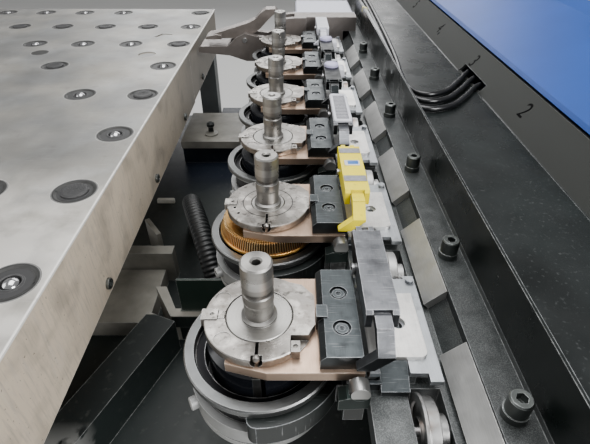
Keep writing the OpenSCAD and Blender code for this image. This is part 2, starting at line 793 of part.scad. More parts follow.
// Routes of the three hoses along the wall and across the floor to the slot in the strip
hose_exit_y = -12;
hose_z = trough_z + sheet_t + hose_d / 2 + 1;
hose_routes = [
    [[442, 745], [440, 600], [432, 320], [423, 120], [414, 10], [413, -50], [422, -84], [446, -96],
     [478, -80], [510, -38], [536, 2], [551, 24]],
    [[428.5, 745], [428, 600], [420.5, 320], [411.5, 120], [402.5, 10], [401, -60], [408, -104],
     [434, -128], [470, -116], [505, -76], [534, -34], [551, -12]],
    [[415, 745], [415, 600], [409, 320], [400.5, 130], [391.5, 10], [390.5, -70], [397, -128],
     [424, -160], [466, -150], [503, -110], [531, -70], [551, -48]]];

// Points of a smooth curve through the route, by cubic pieces between neighbours
function spline(p, i, u) = let (
    a = p[max(i - 1, 0)], b = p[i], c = p[i + 1], d = p[min(i + 2, len(p) - 1)])
    0.5 * ((2 * b) + (c - a) * u + (2 * a - 5 * b + 4 * c - d) * u * u
        + (3 * b - a - 3 * c + d) * u * u * u);
function smooth(p, n) = concat([for (i = [0:len(p) - 2]) for (j = [0:n - 1]) spline(p, i, j / n)],
    [p[len(p) - 1]]);

// A round hose that follows points in one level plane
module hose(points, z, d) {
    sides = 8;
    last = len(points) - 1;
    ring = [for (i = [0:last]) let (
        a = points[max(i - 1, 0)], b = points[min(i + 1, last)],
        along = (b - a) / norm(b - a), side = [along[1], -along[0]])
        for (s = [0:sides - 1]) let (v = 360 * (s + 0.5) / sides)
            [points[i][0] + side[0] * cos(v) * d / 2, points[i][1] + side[1] * cos(v) * d / 2,
             z + sin(v) * d / 2]];
    walls = [for (i = [0:last - 1]) for (s = [0:sides - 1]) let (n = (s + 1) % sides)
        [i * sides + s, i * sides + n, (i + 1) * sides + n, (i + 1) * sides + s]];
    first = [for (s = [sides - 1:-1:0]) s];
    end = [for (s = [0:sides - 1]) last * sides + s];
    polyhedron(ring, concat([first], walls, [end]), convexity = 6);
}

// The hoses end in couplings at the far end of the trough
coupling_len = 26;

module hoses() {
    color("black") for (route = hose_routes) {
        hose(smooth(route, 4), hose_z, hose_d);
        translate([route[0][0], table_len / 2 - coupling_len, hose_z]) rotate([-90, 0, 0])
            rotate_extrude() polygon([[0, -2], [hose_d / 2 + 0.6, 0], [hose_d / 2 + 0.6, 12],
                [hose_d / 2 - 0.6, 12.5], [hose_d / 2 - 0.6, 15], [0, 15]]);
        translate([route[0][0], table_len / 2 - coupling_len + 15, hose_z]) rotate([-90, 0, 0])
            cylinder(d = hose_d + 1.6, h = coupling_len - 15, $fn = 6);
    }
}

// The clamp: fixed lower jaw that reaches to the table, and a foot on the rail
module clamp_body() {
    z = table_z - 14;
    top = table_z + 58;
    x = clamp_pivot_x;
    slot = (clamp_len - jaw_w) / 2;
    color("lavender") difference() {
        union() {
            across(clamp_y, clamp_len) {
                polygon([[-49, z], [-56, z - 6], [-56, z - 16], [28, z - 24], [74, z - 39],
                    [100, z - 39], [114, z - 24], [150, z - 20], [shelf_x - 2, z - 8],
                    [shelf_x - 2, shelf_top], [slope_x - 1, shelf_top], [slope_x - 1, rail_z],
                    [rail_x + 17.3, rail_z], [rail_x + 17.3, top], [206, top], [166, top - 4],
                    [160, z + 34], [132, z + 22], [104, z + 26], [x, clamp_pivot_z + 17],
                    [46, z + 20], [34, z + 8], [26, z + 1.5], [22, z]]);
            }
            pin_y(126, clamp_y - 5, z - 12, 15, 6);
            // The carriage behind the clamp, with a chamfered top and an open left side
            across(clamp_y + clamp_len - over, carriage_len + over) polygon([[206, rail_z - 10],
                [206, top - 6], [212, top], [rail_x + 11, top], [rail_x + 17.3, top - 6],
                [rail_x + 17.3, rail_z], [slope_x - 1, rail_z], [slope_x - 1, shelf_top],
                [shelf_x - 2, shelf_top], [shelf_x - 2, rail_z - 10]]);
        }
        // The foot is set back, clear of the swing of the last lever
        span([236, clamp_y - over, z - 20], [rail_x + 20, clamp_y + 12, top + over]);
        span([38, clamp_y + slot, z - 4], [206, clamp_y + slot + jaw_w, top + over]);
        span([30, clamp_y + slot, z], [60, clamp_y + slot + jaw_w, top]);
        pin_y(x, clamp_y - over, clamp_pivot_z, clamp_pin_d, clamp_len + 2 * over);
    }
}

// The moving upper jaw: a curved arm with a pad at its tip and a boss round the pin
module clamp_jaw() {
    z = table_z;
    tip = z - 14 + mouth_h;
    slot = (clamp_len - jaw_w) / 2 + seat;
    color("lightgray") difference() {
        union() {
            across(clamp_y + slot, jaw_w - 2 * seat) {
                polygon([[-33, tip], [-33, tip + 6], [33, z + 27], [80, z + 41], [100, z + 50],
                    [116, z + 66], [130, z + 75], [154, z + 76], [162, z + 68], [150, z + 62],
                    [136, z + 50], [112, z + 26], [92, z + 13], [60, z + 3], [12, tip]]);
                translate([clamp_pivot_x, clamp_pivot_z]) circle(r = 14);
            }
            across(clamp_y + 8, clamp_len - 16)
                polygon([[-34, tip], [-34, tip + 4], [-28, tip + 8], [-4, tip + 12], [8, tip + 10],
                    [8, tip]]);
        }
        pin_y(clamp_pivot_x, clamp_y, clamp_pivot_z, clamp_pin_d + 2 * run, clamp_len);
    }
}

// Carriages that ride on the guide rails
module guide_blocks() {
    low = bed_h + 5;
    color("gray") for (x = [guide_a, guide_b]) for (y = [-1, 1])
        translate([x, y * block_gap_y / 2, 0]) difference() {
            span([-guide_block_w / 2, -block_long / 2, low],
                [guide_block_w / 2, block_long / 2, carriage_z]);
            span([-guide_w / 2 - seat, -block_long, low - over],
                [guide_w / 2 + seat, block_long, bed_h + guide_rail_h + seat]);
        }
}

// Ground guide rails on the pedestal, waisted along both sides
module guide_rails() {
    w = guide_w / 2;
    h = guide_rail_h;
    color("silver") for (x = [guide_a, guide_b]) translate([x, 0, bed_h])
        across(-table_len / 2 + 20, table_len - 40) polygon([[-w, 0], [-w, h * 0.3],
            [-w + 3, h * 0.42], [-w + 3, h * 0.58], [-w, h * 0.7], [-w, h - 2], [-w + 2, h],
            [w - 2, h], [w, h - 2], [w, h * 0.7], [w - 3, h * 0.58], [w - 3, h * 0.42], [w, h * 0.3],
            [w, 0]]);
}

base_top = foot_h + base_beam;
base_len = table_len - 60;
base_left = table_right - table_w + 20;
base_mid = table_right - 78;
cross_w = 80;
deck_z = 560;
deck_t = 5;
deck_left = -200;
deck_len = 1330;
deck_post_x = -60;
deck_post = 50;
support_top = deck_z + 80;
panel_rim = 60;
panels = 3;

// The pedestal under the rail: a welded box with sunk panels on both long sides
module pedestal() {
    y0 = -base_len / 2;
    panel_len = (base_len - (panels + 1) * panel_rim) / panels;
    low = base_top + panel_rim;
    depth = 12;
    difference() {
        span([pedestal_x, y0, foot_h], [pedestal_right, -y0, bed_h]);
        for (i = [0:panels - 1]) translate([0, y0 + panel_rim + i * (panel_len + panel_rim), low]) {
            translate([pedestal_x - over, 0, 0])
                cube([depth + over, panel_len, deck_z - panel_rim - low]);
            translate([pedestal_right - depth, 0, 0])
                cube([depth + over, panel_len, bed_h - 2 * panel_rim - low]);
        }
    }
}

// Low walls on the deck, seen between the table and the rail
module deck_beams() {
    right = pedestal_x + over;
    low = deck_z + deck_t - over;
    lip = 29;
    // Near ledge with an upright plate on it
    translate([-11, 0, 0]) rotate([90, 0, 90]) linear_extrude(right + 11)
        polygon([[-350, support_top - lip], [-350, support_top], [-332, support_top], [-332, low],
            [-340, low], [-340, support_top - lip]]);
    span([6, -336, support_top - over], [150, -332, support_top + 73]);
    // Far ledge with its lip, and a stud on it
    translate([-124, 0, 0]) rotate([90, 0, 90]) linear_extrude(right + 124)
        polygon([[309, support_top - 21], [309, support_top], [513, support_top], [513, low],
            [321, low], [321, support_top - 21]]);
    translate([-42, 359, support_top - over]) rotate_extrude() polygon([[0, 0], [20, 0], [20, 5],
        [8, 8], [7, 24], [11, 27], [11, 35], [6, 39], [0, 39]]);
    // Beam and plate that reach under the table, with a short slanted rib behind them
    span([deck_left, -185, low], [-44, -160, support_top]);
    span([deck_left, -330, low], [-62, -189, deck_z + 40]);
    block_between(low, support_top) polygon([[-129, -70], [-121, -64], [-82, -118], [-90, -124]]);
    // Slanted wall to the near ledge, and the slanted beam in front of it
    block_between(low, support_top) polygon([[-54, -278], [-34, -278], [-6, -333], [-12, -349]]);
    translate([-27, -350, low]) rotate(-23) translate([-27.5, -320, 0]) cube([55, 320, 76]);
}

// The protective hose that arches over the deck between two collars
hose_arch_d = 36;
hose_arch_r = 150;
hose_arch_from = [-28, -8];
hose_arch_turn = 290;

module arch_hose() {
    translate([hose_arch_from[0], hose_arch_from[1], deck_z + deck_t]) rotate(hose_arch_turn) {
        translate([hose_arch_r, 0, 0]) rotate([96, 0, 0]) rotate_extrude(angle = 180)
            translate([hose_arch_r, 0]) circle(d = hose_arch_d);
        for (x = [0, 2 * hose_arch_r]) translate([x, 0, -2]) cylinder(d = hose_arch_d + 14, h = 16);
    }
}

// The bed: base beams, pedestal under the rail and the dark deck with its support arms
module bed_frame() {
    y0 = -base_len / 2;
    y1 = base_len / 2;
    deck_y = deck_len / 2;
    color("slategray") {
        for (x = [base_left, base_mid]) span([x, y0, foot_h], [x + base_beam, y1, base_top]);
        for (y = [y0, -cross_w / 2, y1 - cross_w]) {
            span([base_left, y, foot_h], [pedestal_x + over, y + cross_w, base_top - 10]);
            span([deck_post_x, y + 15, base_top - 11], [deck_post_x + deck_post, y + 65, deck_z]);
        }
        pedestal();
        span([deck_post_x, y0, deck_z - 50], [deck_post_x + deck_post, y1, deck_z]);
        span([pedestal_x - 40, y0, deck_z - 40], [pedestal_x + over, y1, deck_z]);
        span([deck_post_x, y0, deck_z], [pedestal_x + over, y1, deck_z + deck_t]);
        span([deck_left, -deck_y, deck_z], [deck_post_x + over, deck_y, deck_z + deck_t]);
        deck_beams();
        arch_hose();
    }
}

// Feet: pad, spindle and lock nut
module levelling_feet() {
    y = base_len / 2 - 60;
    color("gray") for (x = [base_left + base_beam / 2, base_mid + base_beam / 2,
        pedestal_right - 50]) for (s = [-1, 0, 1]) translate([x, s * y, 0]) union() {
        rotate_extrude() polygon([[0, 0], [foot_d / 2, 0], [foot_d / 2, 8], [14, 16], [10, 16],
            [10, foot_h], [0, foot_h]]);
        translate([0, 0, foot_h - 14]) cylinder(r = 17, h = 9, $fn = 6);
    }
}

// The table's frame of square tube, inside the apron and down to the base beams
module table_frame() {
    left = table_right - table_w + apron_t + seat;
    right = table_right - apron_t - seat;
    y0 = -table_len / 2 + apron_t + seat;
    y1 = table_len / 2 - apron_t - seat;
    top = table_z - plate_t;
    low = table_z - apron_h + 2;
    leg = 60;
    color("gray") {
        for (x = [left, right - leg]) {
            span([x, y0, low], [x + leg, y1, low + 40]);
            for (y = [y0 + 20, y1 - leg - 20]) span([x, y, base_top], [x + leg, y + leg, low + 1]);
        }
        for (y = [y0, y1 - 40]) span([left, y, low], [right, y + 40, low + 40]);
        for (y = concat([y0 + 20], [for (r = [1.5:3:rows]) insert_y(r) - 20])) {
            span([left, y, top - 40], [right, y + 40, top]);
            for (x = [left, right - 40]) span([x, y, low + 39], [x + 40, y + 40, top - 39]);
        }
    }
}

// Insert grid: column 0 lies next to the rail, row 1 at the near end
insert_rim = 2;
insert_edge = insert_d / 2 + insert_rim + apron_t + 0.5;
row_edge = 235;
row_first = row_edge - table_len / 2;
columns = floor((table_w - 2 * insert_edge) / insert_dx) + 1;
rows = floor((table_len - row_edge - insert_edge) / insert_dy) + 1;
apron_screw_edge = 63;
apron_screw_gap = 284;
apron_screw_places = [for (y = [apron_screw_edge - table_len / 2:apron_screw_gap:table_len / 2 - 40]) y];
apron_far_len = 480;
apron_step_y = table_len / 2 - apron_far_len;
apron_step = 2.5;
apron_screw_z = table_z - apron_h + 18;
function insert_x(c) = table_right - insert_edge - c * insert_dx;
function insert_y(r) = row_first + (r - 1) * insert_dy;
function has_insert(c, r) = (c == 0 || (c + r) % 2 == 1 || r >= 6) && !(c == 1 && r == 8)
    && !(c == 5 && r == 1);
function is_ball(c, r) = (r + (c > 0 ? 1 : 0)) % 2 == 1 && !(c == 1 && r == 2);
small_hole = [[-430, 279, 42], [-160, 267, 43]];

// The table top: plate and apron folded from one sheet, open below
module table_top() {
    left = table_right - table_w;
    half = table_len / 2;
    color("gainsboro") difference() {
        span([left, -half, table_z - apron_h], [table_right, half, table_z]);
        span([left + apron_t, -half + apron_t, table_z - apron_h - over],
            [table_right - apron_t, half - apron_t, table_z - plate_t]);
        for (c = [0:columns - 1]) for (r = [1:rows]) if (has_insert(c, r))
            translate([insert_x(c), insert_y(r), table_z - plate_t - over])
                cylinder(d = insert_d + 2 * seat, h = plate_t + 2 * over);
        for (h = small_hole) translate([h[0], h[1], table_z - plate_t - over])
            cylinder(d = h[2], h = plate_t + 2 * over);
        // Bent slot for a stop, and the step where the far apron sheet is set back
        translate([0, 0, table_z - plate_t - over]) linear_extrude(plate_t + 2 * over)
            polygon([[-181, 424], [-168, 456], [-137, 456], [-137, 447], [-162, 447], [-172.7, 420.6]]);
        span([table_right - apron_step, apron_step_y, table_z - apron_h - over],
            [table_right + over, half + over, table_z - 3]);
        for (y = apron_screw_places) pin_x(table_right - apron_t - over, y, apron_screw_z, 7,
            apron_t + 2 * over);
    }
}

// Section of an insert with a ball: rim, dish and cup
module ball_cup_section() {
    r = insert_d / 2;
    polygon([[0, table_z - 26], [16, table_z - 26], [16, table_z - 12], [r - 3, table_z - 12],
        [r - 3, table_z - plate_t - seat], [r + insert_rim, table_z - plate_t - seat - 3],
        [r + insert_rim, table_z - plate_t - seat], [r, table_z - plate_t - seat], [r, table_z],
        [r - 4, table_z], [r - 7, table_z - 1.6], [ball_d / 2 + 3.5, table_z - 1.6],
        [ball_d / 2 + 1.5, table_z], [ball_d / 2 + seat, table_z - 0.6],
        [ball_d / 2 + seat, table_z + ball_proud - ball_d - seat],
        [0, table_z + ball_proud - ball_d - seat]]);
}

// Section of a brush insert: rim and the tight bristle field
module brush_section() {
    r = insert_d / 2;
    polygon([[0, table_z - 16], [r - 5, table_z - 16], [r - 5, table_z - plate_t - seat - 3],
        [r + insert_rim, table_z - plate_t - seat - 3], [r + insert_rim, table_z - plate_t - seat],
        [r, table_z - plate_t - seat], [r, table_z], [r - 4, table_z], [r - 7, table_z - 2],
        [r * 0.62, table_z - 2], [r * 0.6, table_z + 1], [r * 0.5, table_z + 2.2], [0, table_z + 2.6]]);
}

module table_inserts() {
    color("dimgray") for (c = [0:columns - 1]) for (r = [1:rows]) if (has_insert(c, r))
        translate([insert_x(c), insert_y(r), 0]) rotate_extrude()
            if (is_ball(c, r)) ball_cup_section(); else brush_section();
    color("gray") translate([small_hole[0][0], small_hole[0][1], table_z - 12])
        cylinder(d = small_hole[0][2] - 2 * seat, h = 12);
}

module table_balls() {
    color("silver") for (c = [0:columns - 1]) for (r = [1:rows]) if (has_insert(c, r) && is_ball(c, r))
        translate([insert_x(c), insert_y(r), table_z + ball_proud - ball_d / 2]) sphere(d = ball_d);
}

// Screws that hold the apron on the table frame
module apron_screws() {
    color("gray") for (y = apron_screw_places)
        translate([table_right - (y > apron_step_y ? apron_step : 0), y, apron_screw_z])
            rotate([0, 90, 0]) socket_head(17, 5);
}

for (k = [1:6]) {
    punch(k);
    align_ring(k);
    cassette(k);
    lock_lever(k);
    die(k);
    roller(k);
}
jaw_plates();
punch_guides();
toothed_ring();
catches();
pivot_pins();
station_brackets();
cover_plates();
wedge_plates();
rail_screws();
rail_beam();
cable_trough();
hoses();
side_cover();
clamp_body();
clamp_jaw();
guide_blocks();
guide_rails();
bed_frame();
levelling_feet();
table_frame();
table_top();
table_inserts();
table_balls();
apron_screws();
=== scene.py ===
"""Looks of a punching machine's tool magazine and of the ball and brush table beside it."""

import math

import bpy
import numpy as np
from bpy.props import FloatProperty, FloatVectorProperty, IntProperty, PointerProperty
from mathutils import Matrix


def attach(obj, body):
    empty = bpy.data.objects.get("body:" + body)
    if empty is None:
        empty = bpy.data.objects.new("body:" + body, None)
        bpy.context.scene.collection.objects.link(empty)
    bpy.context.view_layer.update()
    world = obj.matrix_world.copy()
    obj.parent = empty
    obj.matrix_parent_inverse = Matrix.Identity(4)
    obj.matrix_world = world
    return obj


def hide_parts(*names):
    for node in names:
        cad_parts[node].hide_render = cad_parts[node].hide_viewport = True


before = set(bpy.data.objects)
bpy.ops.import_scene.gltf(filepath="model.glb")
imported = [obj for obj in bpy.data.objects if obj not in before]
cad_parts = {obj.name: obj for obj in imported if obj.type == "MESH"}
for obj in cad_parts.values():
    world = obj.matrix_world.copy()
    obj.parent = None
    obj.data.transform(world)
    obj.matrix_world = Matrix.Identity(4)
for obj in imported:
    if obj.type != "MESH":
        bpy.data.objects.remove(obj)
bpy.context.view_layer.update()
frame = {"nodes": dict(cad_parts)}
NODES = frame["nodes"]

bl_info = {
    "name": "Punching Machine Tool Magazine",
    "version": (1, 0, 0),
    "blender": (4, 5, 0),
    "location": "View3D > Sidebar > Magazine",
    "description": "Finishes and fine pieces of a tool rail, its stations and a ball and brush table",
    "category": "Object",
}

# Places and sizes that the finishes and the fine pieces share with the solids, in metres

STATIONS = range(1, 7)
PITCH = 0.18
STATION_X = 0.17
FIRST_Y = -0.6
TABLE_Z = 0.9
LEVER_X = 0.274
LEVER_TOP = 0.962
INSERT_FIRST = (-0.1005, -0.53)
INSERT_STEP = (0.1256, 0.1775)
TABLE_EDGE_X = -0.061
STRIP_FOOT = (0.5396, 0.933)
STRIP_ALONG = (0.6823, 0.0, 0.7311)
DECK_Z = 0.565
ARCH_CENTRE = (0.0233, -0.149, 0.565)
ARCH_ACROSS = (0.34202, -0.93969, 0.0)
ARCH_UP = (-0.09823, -0.03575, 0.99452)
ARCH_RADIUS = 0.15
RIB_PITCH = 0.0085
ROLLER_Z = 0.888
ROLLER_BACK = 0.088
TEETH = 120
BRUSH_RADIUS = 0.0178
TUBE_X = 0.3895
TIE_PLACE = (TUBE_X, 0.388, 0.9785)
NUMBER_Y = (-0.457, -0.212, 0.033, 0.29, 0.56)
HOSE_END_Y = 0.765
HOSE_Z = 0.939

# Middle lines of the three hoses, each from its coupling to the slot, x and y in millimetres

HOSE_ROUTES = [
    [[442, 745], [440, 600], [432, 320], [423, 120], [414, 10], [413, -50], [422, -84], [446, -96],
     [478, -80], [510, -38], [536, 2], [551, 24]],
    [[428.5, 745], [428, 600], [420.5, 320], [411.5, 120], [402.5, 10], [401, -60], [408, -104],
     [434, -128], [470, -116], [505, -76], [534, -34], [551, -12]],
    [[415, 745], [415, 600], [409, 320], [400.5, 130], [391.5, 10], [390.5, -70], [397, -128],
     [424, -160], [466, -150], [503, -110], [531, -70], [551, -48]],
]

# The rounding of all edges, and the photo's camera: place in metres, turn in degrees, lens in millimetres

EDGE_ROUND = 0.0005
CAMERA_PLACE = (0.2, -0.875, 1.24)
CAMERA_TURN = (53.01, -0.1915, -0.2542)
CAMERA_LENS = 27.458


def station_y(k):
    """Place of station k along the rail: the first place plus k - 1 pitches."""
    return FIRST_Y + (k - 1) * PITCH


def tint(code):
    """Linear colour of a six-digit paint code: each channel c becomes ((c + 0.055) / 1.055) ** 2.4."""
    c = np.array([int(code[i : i + 2], 16) for i in (0, 2, 4)]) / 255
    return tuple(np.where(c > 0.04045, ((c + 0.055) / 1.055) ** 2.4, c / 12.92))


# Finishes


class Finish:
    """A finish laid on in coats: base colour, tone, grain, stains, rubbed edges and a bump."""

    def __init__(self, name, colour, metallic, roughness, **sockets):
        self.material = bpy.data.materials.new(name)
        self.material.use_nodes = True
        self.tree = self.material.node_tree
        self.shader = self.tree.nodes["Principled BSDF"]
        for socket, value in sockets.items():
            self.shader.inputs[socket.replace("_", " ")].default_value = value
        self.place = self.node("ShaderNodeTexCoord").outputs["Object"]
        self.x, self.y, self.z = self.node("ShaderNodeSeparateXYZ", Vector=self.place).outputs
        self.colour = (*colour, 1)
        self.metal = metallic
        self.rough = roughness
        self.normal = self.node("ShaderNodeBevel", samples=4, Radius=EDGE_ROUND).outputs[0]

    def node(self, kind, **settings):
        """A node with its settings: names with a capital are sockets, the others are properties."""
        made = self.tree.nodes.new(kind)
        for key, value in settings.items():
            if key[0].isupper():
                self.feed(made.inputs[key.replace("_", " ")], value)
            else:
                setattr(made, key, value)
        return made

    def feed(self, socket, value):
        """Links a socket to another one, or sets its value."""
        if isinstance(value, bpy.types.NodeSocket):
            self.tree.links.new(value, socket)
        else:
            socket.default_value = value

    def sum(self, operation, *values):
        """One arithmetic step on numbers or sockets."""
        made = self.node("ShaderNodeMath", operation=operation)
        for socket, value in zip(made.inputs, values):
            self.feed(socket, value)
        return made.outputs[0]

    def product(self, *masks):
        """All the masks multiplied with each other."""
        made = masks[0]
        for mask in masks[1:]:
            made = self.sum("MULTIPLY", made, mask)
        return made

    def wrapped(self, value, start, step):
        """Distance of a coordinate from the nearest of the places start + n * step."""
        return self.sum("WRAP", self.sum("SUBTRACT", value, start), step / 2, -step / 2)

    def length(self, across, side):
        """Length of a flat vector: the root of across squared plus side squared."""
        squares = self.sum("ADD", self.sum("MULTIPLY", across, across), self.sum("MULTIPLY", side, side))
        return self.sum("SQRT", squares)

    def radius(self, axis="Z"):
        """Distance from the axis of the nearest station's tool or of the nearest roller."""
        if axis == "Z":
            across, first = self.sum("SUBTRACT", self.x, STATION_X), FIRST_Y
        else:
            across, first = self.sum("SUBTRACT", self.z, ROLLER_Z), FIRST_Y - ROLLER_BACK
        return self.length(across, self.wrapped(self.y, first, PITCH))

    def turned(self, axis):
        """The radius and the place along the axis, as a vector for marks that run round a piece."""
        made = self.node("ShaderNodeCombineXYZ", X=self.radius(axis), Z=self.z if axis == "Z" else self.x)
        return made.outputs[0]

    def noise(self, size, stretch=(1, 1, 1), detail=3.0, turn=0.0, at=None):
        """A cloud pattern whose patches are about this size in metres, before it is stretched."""
        laid = {"Scale": stretch, "Rotation": (0, 0, turn)}
        moved = self.node("ShaderNodeMapping", Vector=at or self.place, **laid)
        made = self.node("ShaderNodeTexNoise", Vector=moved.outputs[0], Scale=1 / size, Detail=detail)
        return made.outputs["Fac"]

    def ramp(self, value, low, high, out_low=0.0, out_high=1.0):
        """The value from low to high, laid out from out_low to out_high and held outside."""
        limits = {"From_Min": low, "From_Max": high, "To_Min": out_low, "To_Max": out_high}
        return self.node("ShaderNodeMapRange", Value=value, **limits).outputs[0]

    def clouds(self, size, low, high, detail):
        """Mask of the places where a cloud pattern passes from low to high."""
        return self.ramp(self.noise(size, detail=detail), low, high)

    def band(self, value, centre, half, soft):
        """Mask that is one within half of the centre and fades out over soft."""
        away = self.sum("ABSOLUTE", self.sum("SUBTRACT", value, centre))
        return self.ramp(away, half + soft, half)

    def inside(self, low, high, soft=0.0006):
        """Mask of the space between two corners."""
        bands = [
            self.band(value, (a + b) / 2, (b - a) / 2, soft)
            for value, a, b in zip((self.x, self.y, self.z), low, high)
        ]
        return self.product(*bands)

    def sides(self):
        """Mask of the faces that don't look up, from the piece's own normal: the faces that get painted
        shade.
        """
        own = self.node("ShaderNodeTexCoord").outputs["Normal"]
        return self.ramp(self.node("ShaderNodeSeparateXYZ", Vector=own).outputs[2], 0.8, 0.6)

    def tone(self, value, dark, light):
        """Multiplies the colour from dark to light along a pattern."""
        factor = self.ramp(value, 0.3, 0.7, dark, light)
        made = self.node("ShaderNodeVectorMath", operation="SCALE", Scale=factor)
        linked = isinstance(self.colour, bpy.types.NodeSocket)
        self.feed(made.inputs[0], self.colour if linked else self.colour[:3])
        self.colour = made.outputs[0]
        return self

    def mottled(self, size, dark, light, detail=3.0):
        """Multiplies the colour from dark to light along a cloud pattern."""
        return self.tone(self.noise(size, detail=detail), dark, light)

    def mixed(self, kind, start, mask, first, second):
        """A mix of two values by a mask: the sockets of this kind of value begin at start."""
        made = self.node("ShaderNodeMix", data_type=kind)
        for socket, value in ((0, mask), (start, first), (start + 1, second)):
            self.feed(made.inputs[socket], value)
        return made

    def coat(self, colour, *masks):
        """Lays another colour over the first where the product of the masks is one."""
        self.colour = self.mixed("RGBA", 6, self.product(*masks), self.colour, (*colour, 1)).outputs[2]
        return self

    def between(self, first, second, mask):
        """A number that goes from first to second with the mask."""
        return self.mixed("FLOAT", 2, mask, first, second).outputs[0]

    def changed(self, mask, metallic=None, roughness=None):
        """Gives the masked places another share of metal or another roughness."""
        if metallic is not None:
            self.metal = self.between(self.metal, metallic, mask)
        if roughness is not None:
            self.rough = self.between(self.rough, roughness, mask)
        return self

    def sheen(self, value, low, high):
        """Roughness from low to high along a pattern."""
        self.rough = self.ramp(value, 0.3, 0.7, low, high)
        return self

    def relief(self, value, depth):
        """A bump of this depth in metres along a pattern."""
        made = self.node("ShaderNodeBump", Height=value, Normal=self.normal, Distance=depth)
        self.normal = made.outputs[0]
        return self

    def grained(self, size, depth, detail=3.0):
        """A bump of this depth in metres along a cloud pattern."""
        return self.relief(self.noise(size, detail=detail), depth)

    def edge(self, width):
        """Mask of the edges: where a rounded normal leaves the flat one."""
        bevel = self.node("ShaderNodeBevel", samples=6, Radius=width).outputs[0]
        flat = self.node("ShaderNodeNewGeometry").outputs["Normal"]
        product = self.node("ShaderNodeVectorMath", operation="DOT_PRODUCT")
        self.feed(product.inputs[0], bevel)
        self.feed(product.inputs[1], flat)
        return self.ramp(product.outputs["Value"], 0.99, 0.86)

    def grimy(self, colour, amount, reach=0.006):
        """Grime and painted shade in the corners: a dark coat laid where the piece's own shape shades it
        within reach.
        """
        # Painted shade: the ambient occlusion of the piece's own shape darkens its colour in corners and
        # hollows.
        shade = self.node("ShaderNodeAmbientOcclusion", samples=4, only_local=True, Distance=reach)
        return self.coat(colour, self.ramp(shade.outputs["AO"], 0.85, 0.35), amount)

    def rubbed(self, width, colour, amount=0.8):
        """Edges rubbed to another colour, broken up by a fine pattern."""
        patch = self.ramp(self.noise(0.006, detail=4), 0.35, 0.6, 0.35, 1)
        return self.coat(colour, self.edge(width), patch, amount)

    def stained(self, size, colour, low, high, amount):
        """Patches of another colour where a cloud pattern passes from low to high."""
        return self.coat(colour, self.clouds(size, low, high, 6), amount)

    def scratched(self, colour, amount, turn=0.5, size=0.02):
        """Thin scratches: a cloud pattern stretched forty to one, with only its peaks kept."""
        for step in (0, 1.3):
            lines = self.noise(size, (1, 40, 1), 2, turn + step)
            self.coat(colour, self.ramp(lines, 0.66, 0.72), amount)
        return self

    def done(self):
        """Links the coats to the shader and gives back the material."""
        coats = {
            "Base Color": self.colour, "Metallic": self.metal,
            "Roughness": self.rough, "Normal": self.normal,
        }
        for socket, value in coats.items():
            self.feed(self.shader.inputs[socket], value)
        return self.material

    def dress(self, *nodes):
        """Gives CAD nodes this finish."""
        material = self.done()
        for name in nodes:
            mesh = NODES[name].data
            mesh.materials.clear()
            mesh.materials.append(material)
        return material


def each(name):
    """Names of one piece at all the stations."""
    return [f"{name}_{k}" for k in STATIONS]


def ground_steel(name, colour, rough, axis=None, metallic=1.0):
    """Ground or turned steel: fine marks that follow the cut, faint clouds and an uneven sheen."""
    f = Finish(name, colour, metallic, rough)
    if axis:
        marks = f.noise(0.0006, (1, 0.02, 1), 2, at=f.turned(axis))
        round_axis = f.node("ShaderNodeTangent", direction_type="RADIAL", axis=axis).outputs[0]
        f.feed(f.shader.inputs["Tangent"], round_axis)
        f.shader.inputs["Anisotropic"].default_value = 0.7
    else:
        marks = f.noise(0.0006, (1, 0.06, 1), 2)
    f.mottled(0.03, 0.84, 1.1, 5).tone(marks, 0.92, 1.06)
    f.sheen(f.noise(0.012, detail=4), rough - 0.05, rough + 0.1).relief(marks, 0.00003)
    return f


def plastic(name, colour, rough, size, dark, light, detail=4.0, **sockets):
    """Plastic or plain paint: one colour with faint clouds."""
    return Finish(name, colour, 0.0, rough, **sockets).mottled(size, dark, light, detail)


# Surfaces


def net(rows, columns):
    """Faces of a grid of rows by columns, closed along the columns."""
    i, j = np.meshgrid(np.arange(rows - 1), np.arange(columns), indexing="ij")
    k = (j + 1) % columns
    corners = [i * columns + j, i * columns + k, (i + 1) * columns + k, (i + 1) * columns + j]
    return np.stack(corners, -1).reshape(-1, 4)


def loft(rings):
    """A closed skin: grid(u, v) = point v of ring u, with a flat face on the first and the last ring."""
    rings = np.asarray(rings, float)
    rows, n = rings.shape[:2]
    j = np.arange(n)
    return rings.reshape(-1, 3), [net(rows, n), j[::-1][None], (j + (rows - 1) * n)[None]]


def circle(sides):
    """Cosines and sines of even steps round a full turn, as a column each."""
    v = np.linspace(0, 2 * math.pi, sides, endpoint=False)[:, None]
    return np.cos(v), np.sin(v)


def tube(path, radius, sides, flat=(0, 0, 1)):
    """A round tube: point(u, v) = path(u) + radius(u) * (side(u) cos v + up(u) sin v).

    The side is the cross product of the path's direction and the flat vector, up is square to both.
    """
    along = np.gradient(path, axis=0)
    side = np.cross(along, flat)
    side /= np.linalg.norm(side, axis=1)[:, None]
    up = np.cross(side, along)
    up /= np.linalg.norm(up, axis=1)[:, None]
    cos, sin = circle(sides)
    reach = np.broadcast_to(radius, len(path))[:, None, None]
    return loft(path[:, None] + reach * (side[:, None] * cos + up[:, None] * sin))


def curve_through(points, steps):
    """A smooth curve through points.

    Between b and c, with a before them and d after them, point(u) is half of
    2b + (c - a) u + (2a - 5b + 4c - d) u squared + (3b - a - 3c + d) u cubed.
    """
    p = np.asarray(points, float)
    a, b, c, d = (p[np.clip(np.arange(len(p) - 1) + shift, 0, len(p) - 1)] for shift in (-1, 0, 1, 2))
    u = (np.arange(steps) / steps)[None, :, None]
    a, b, c, d = a[:, None], b[:, None], c[:, None], d[:, None]
    q = 0.5 * (2 * b + (c - a) * u + (2 * a - 5 * b + 4 * c - d) * u**2 + (3 * b - a - 3 * c + d) * u**3)
    return np.concatenate([q.reshape(-1, p.shape[1]), p[-1:]])


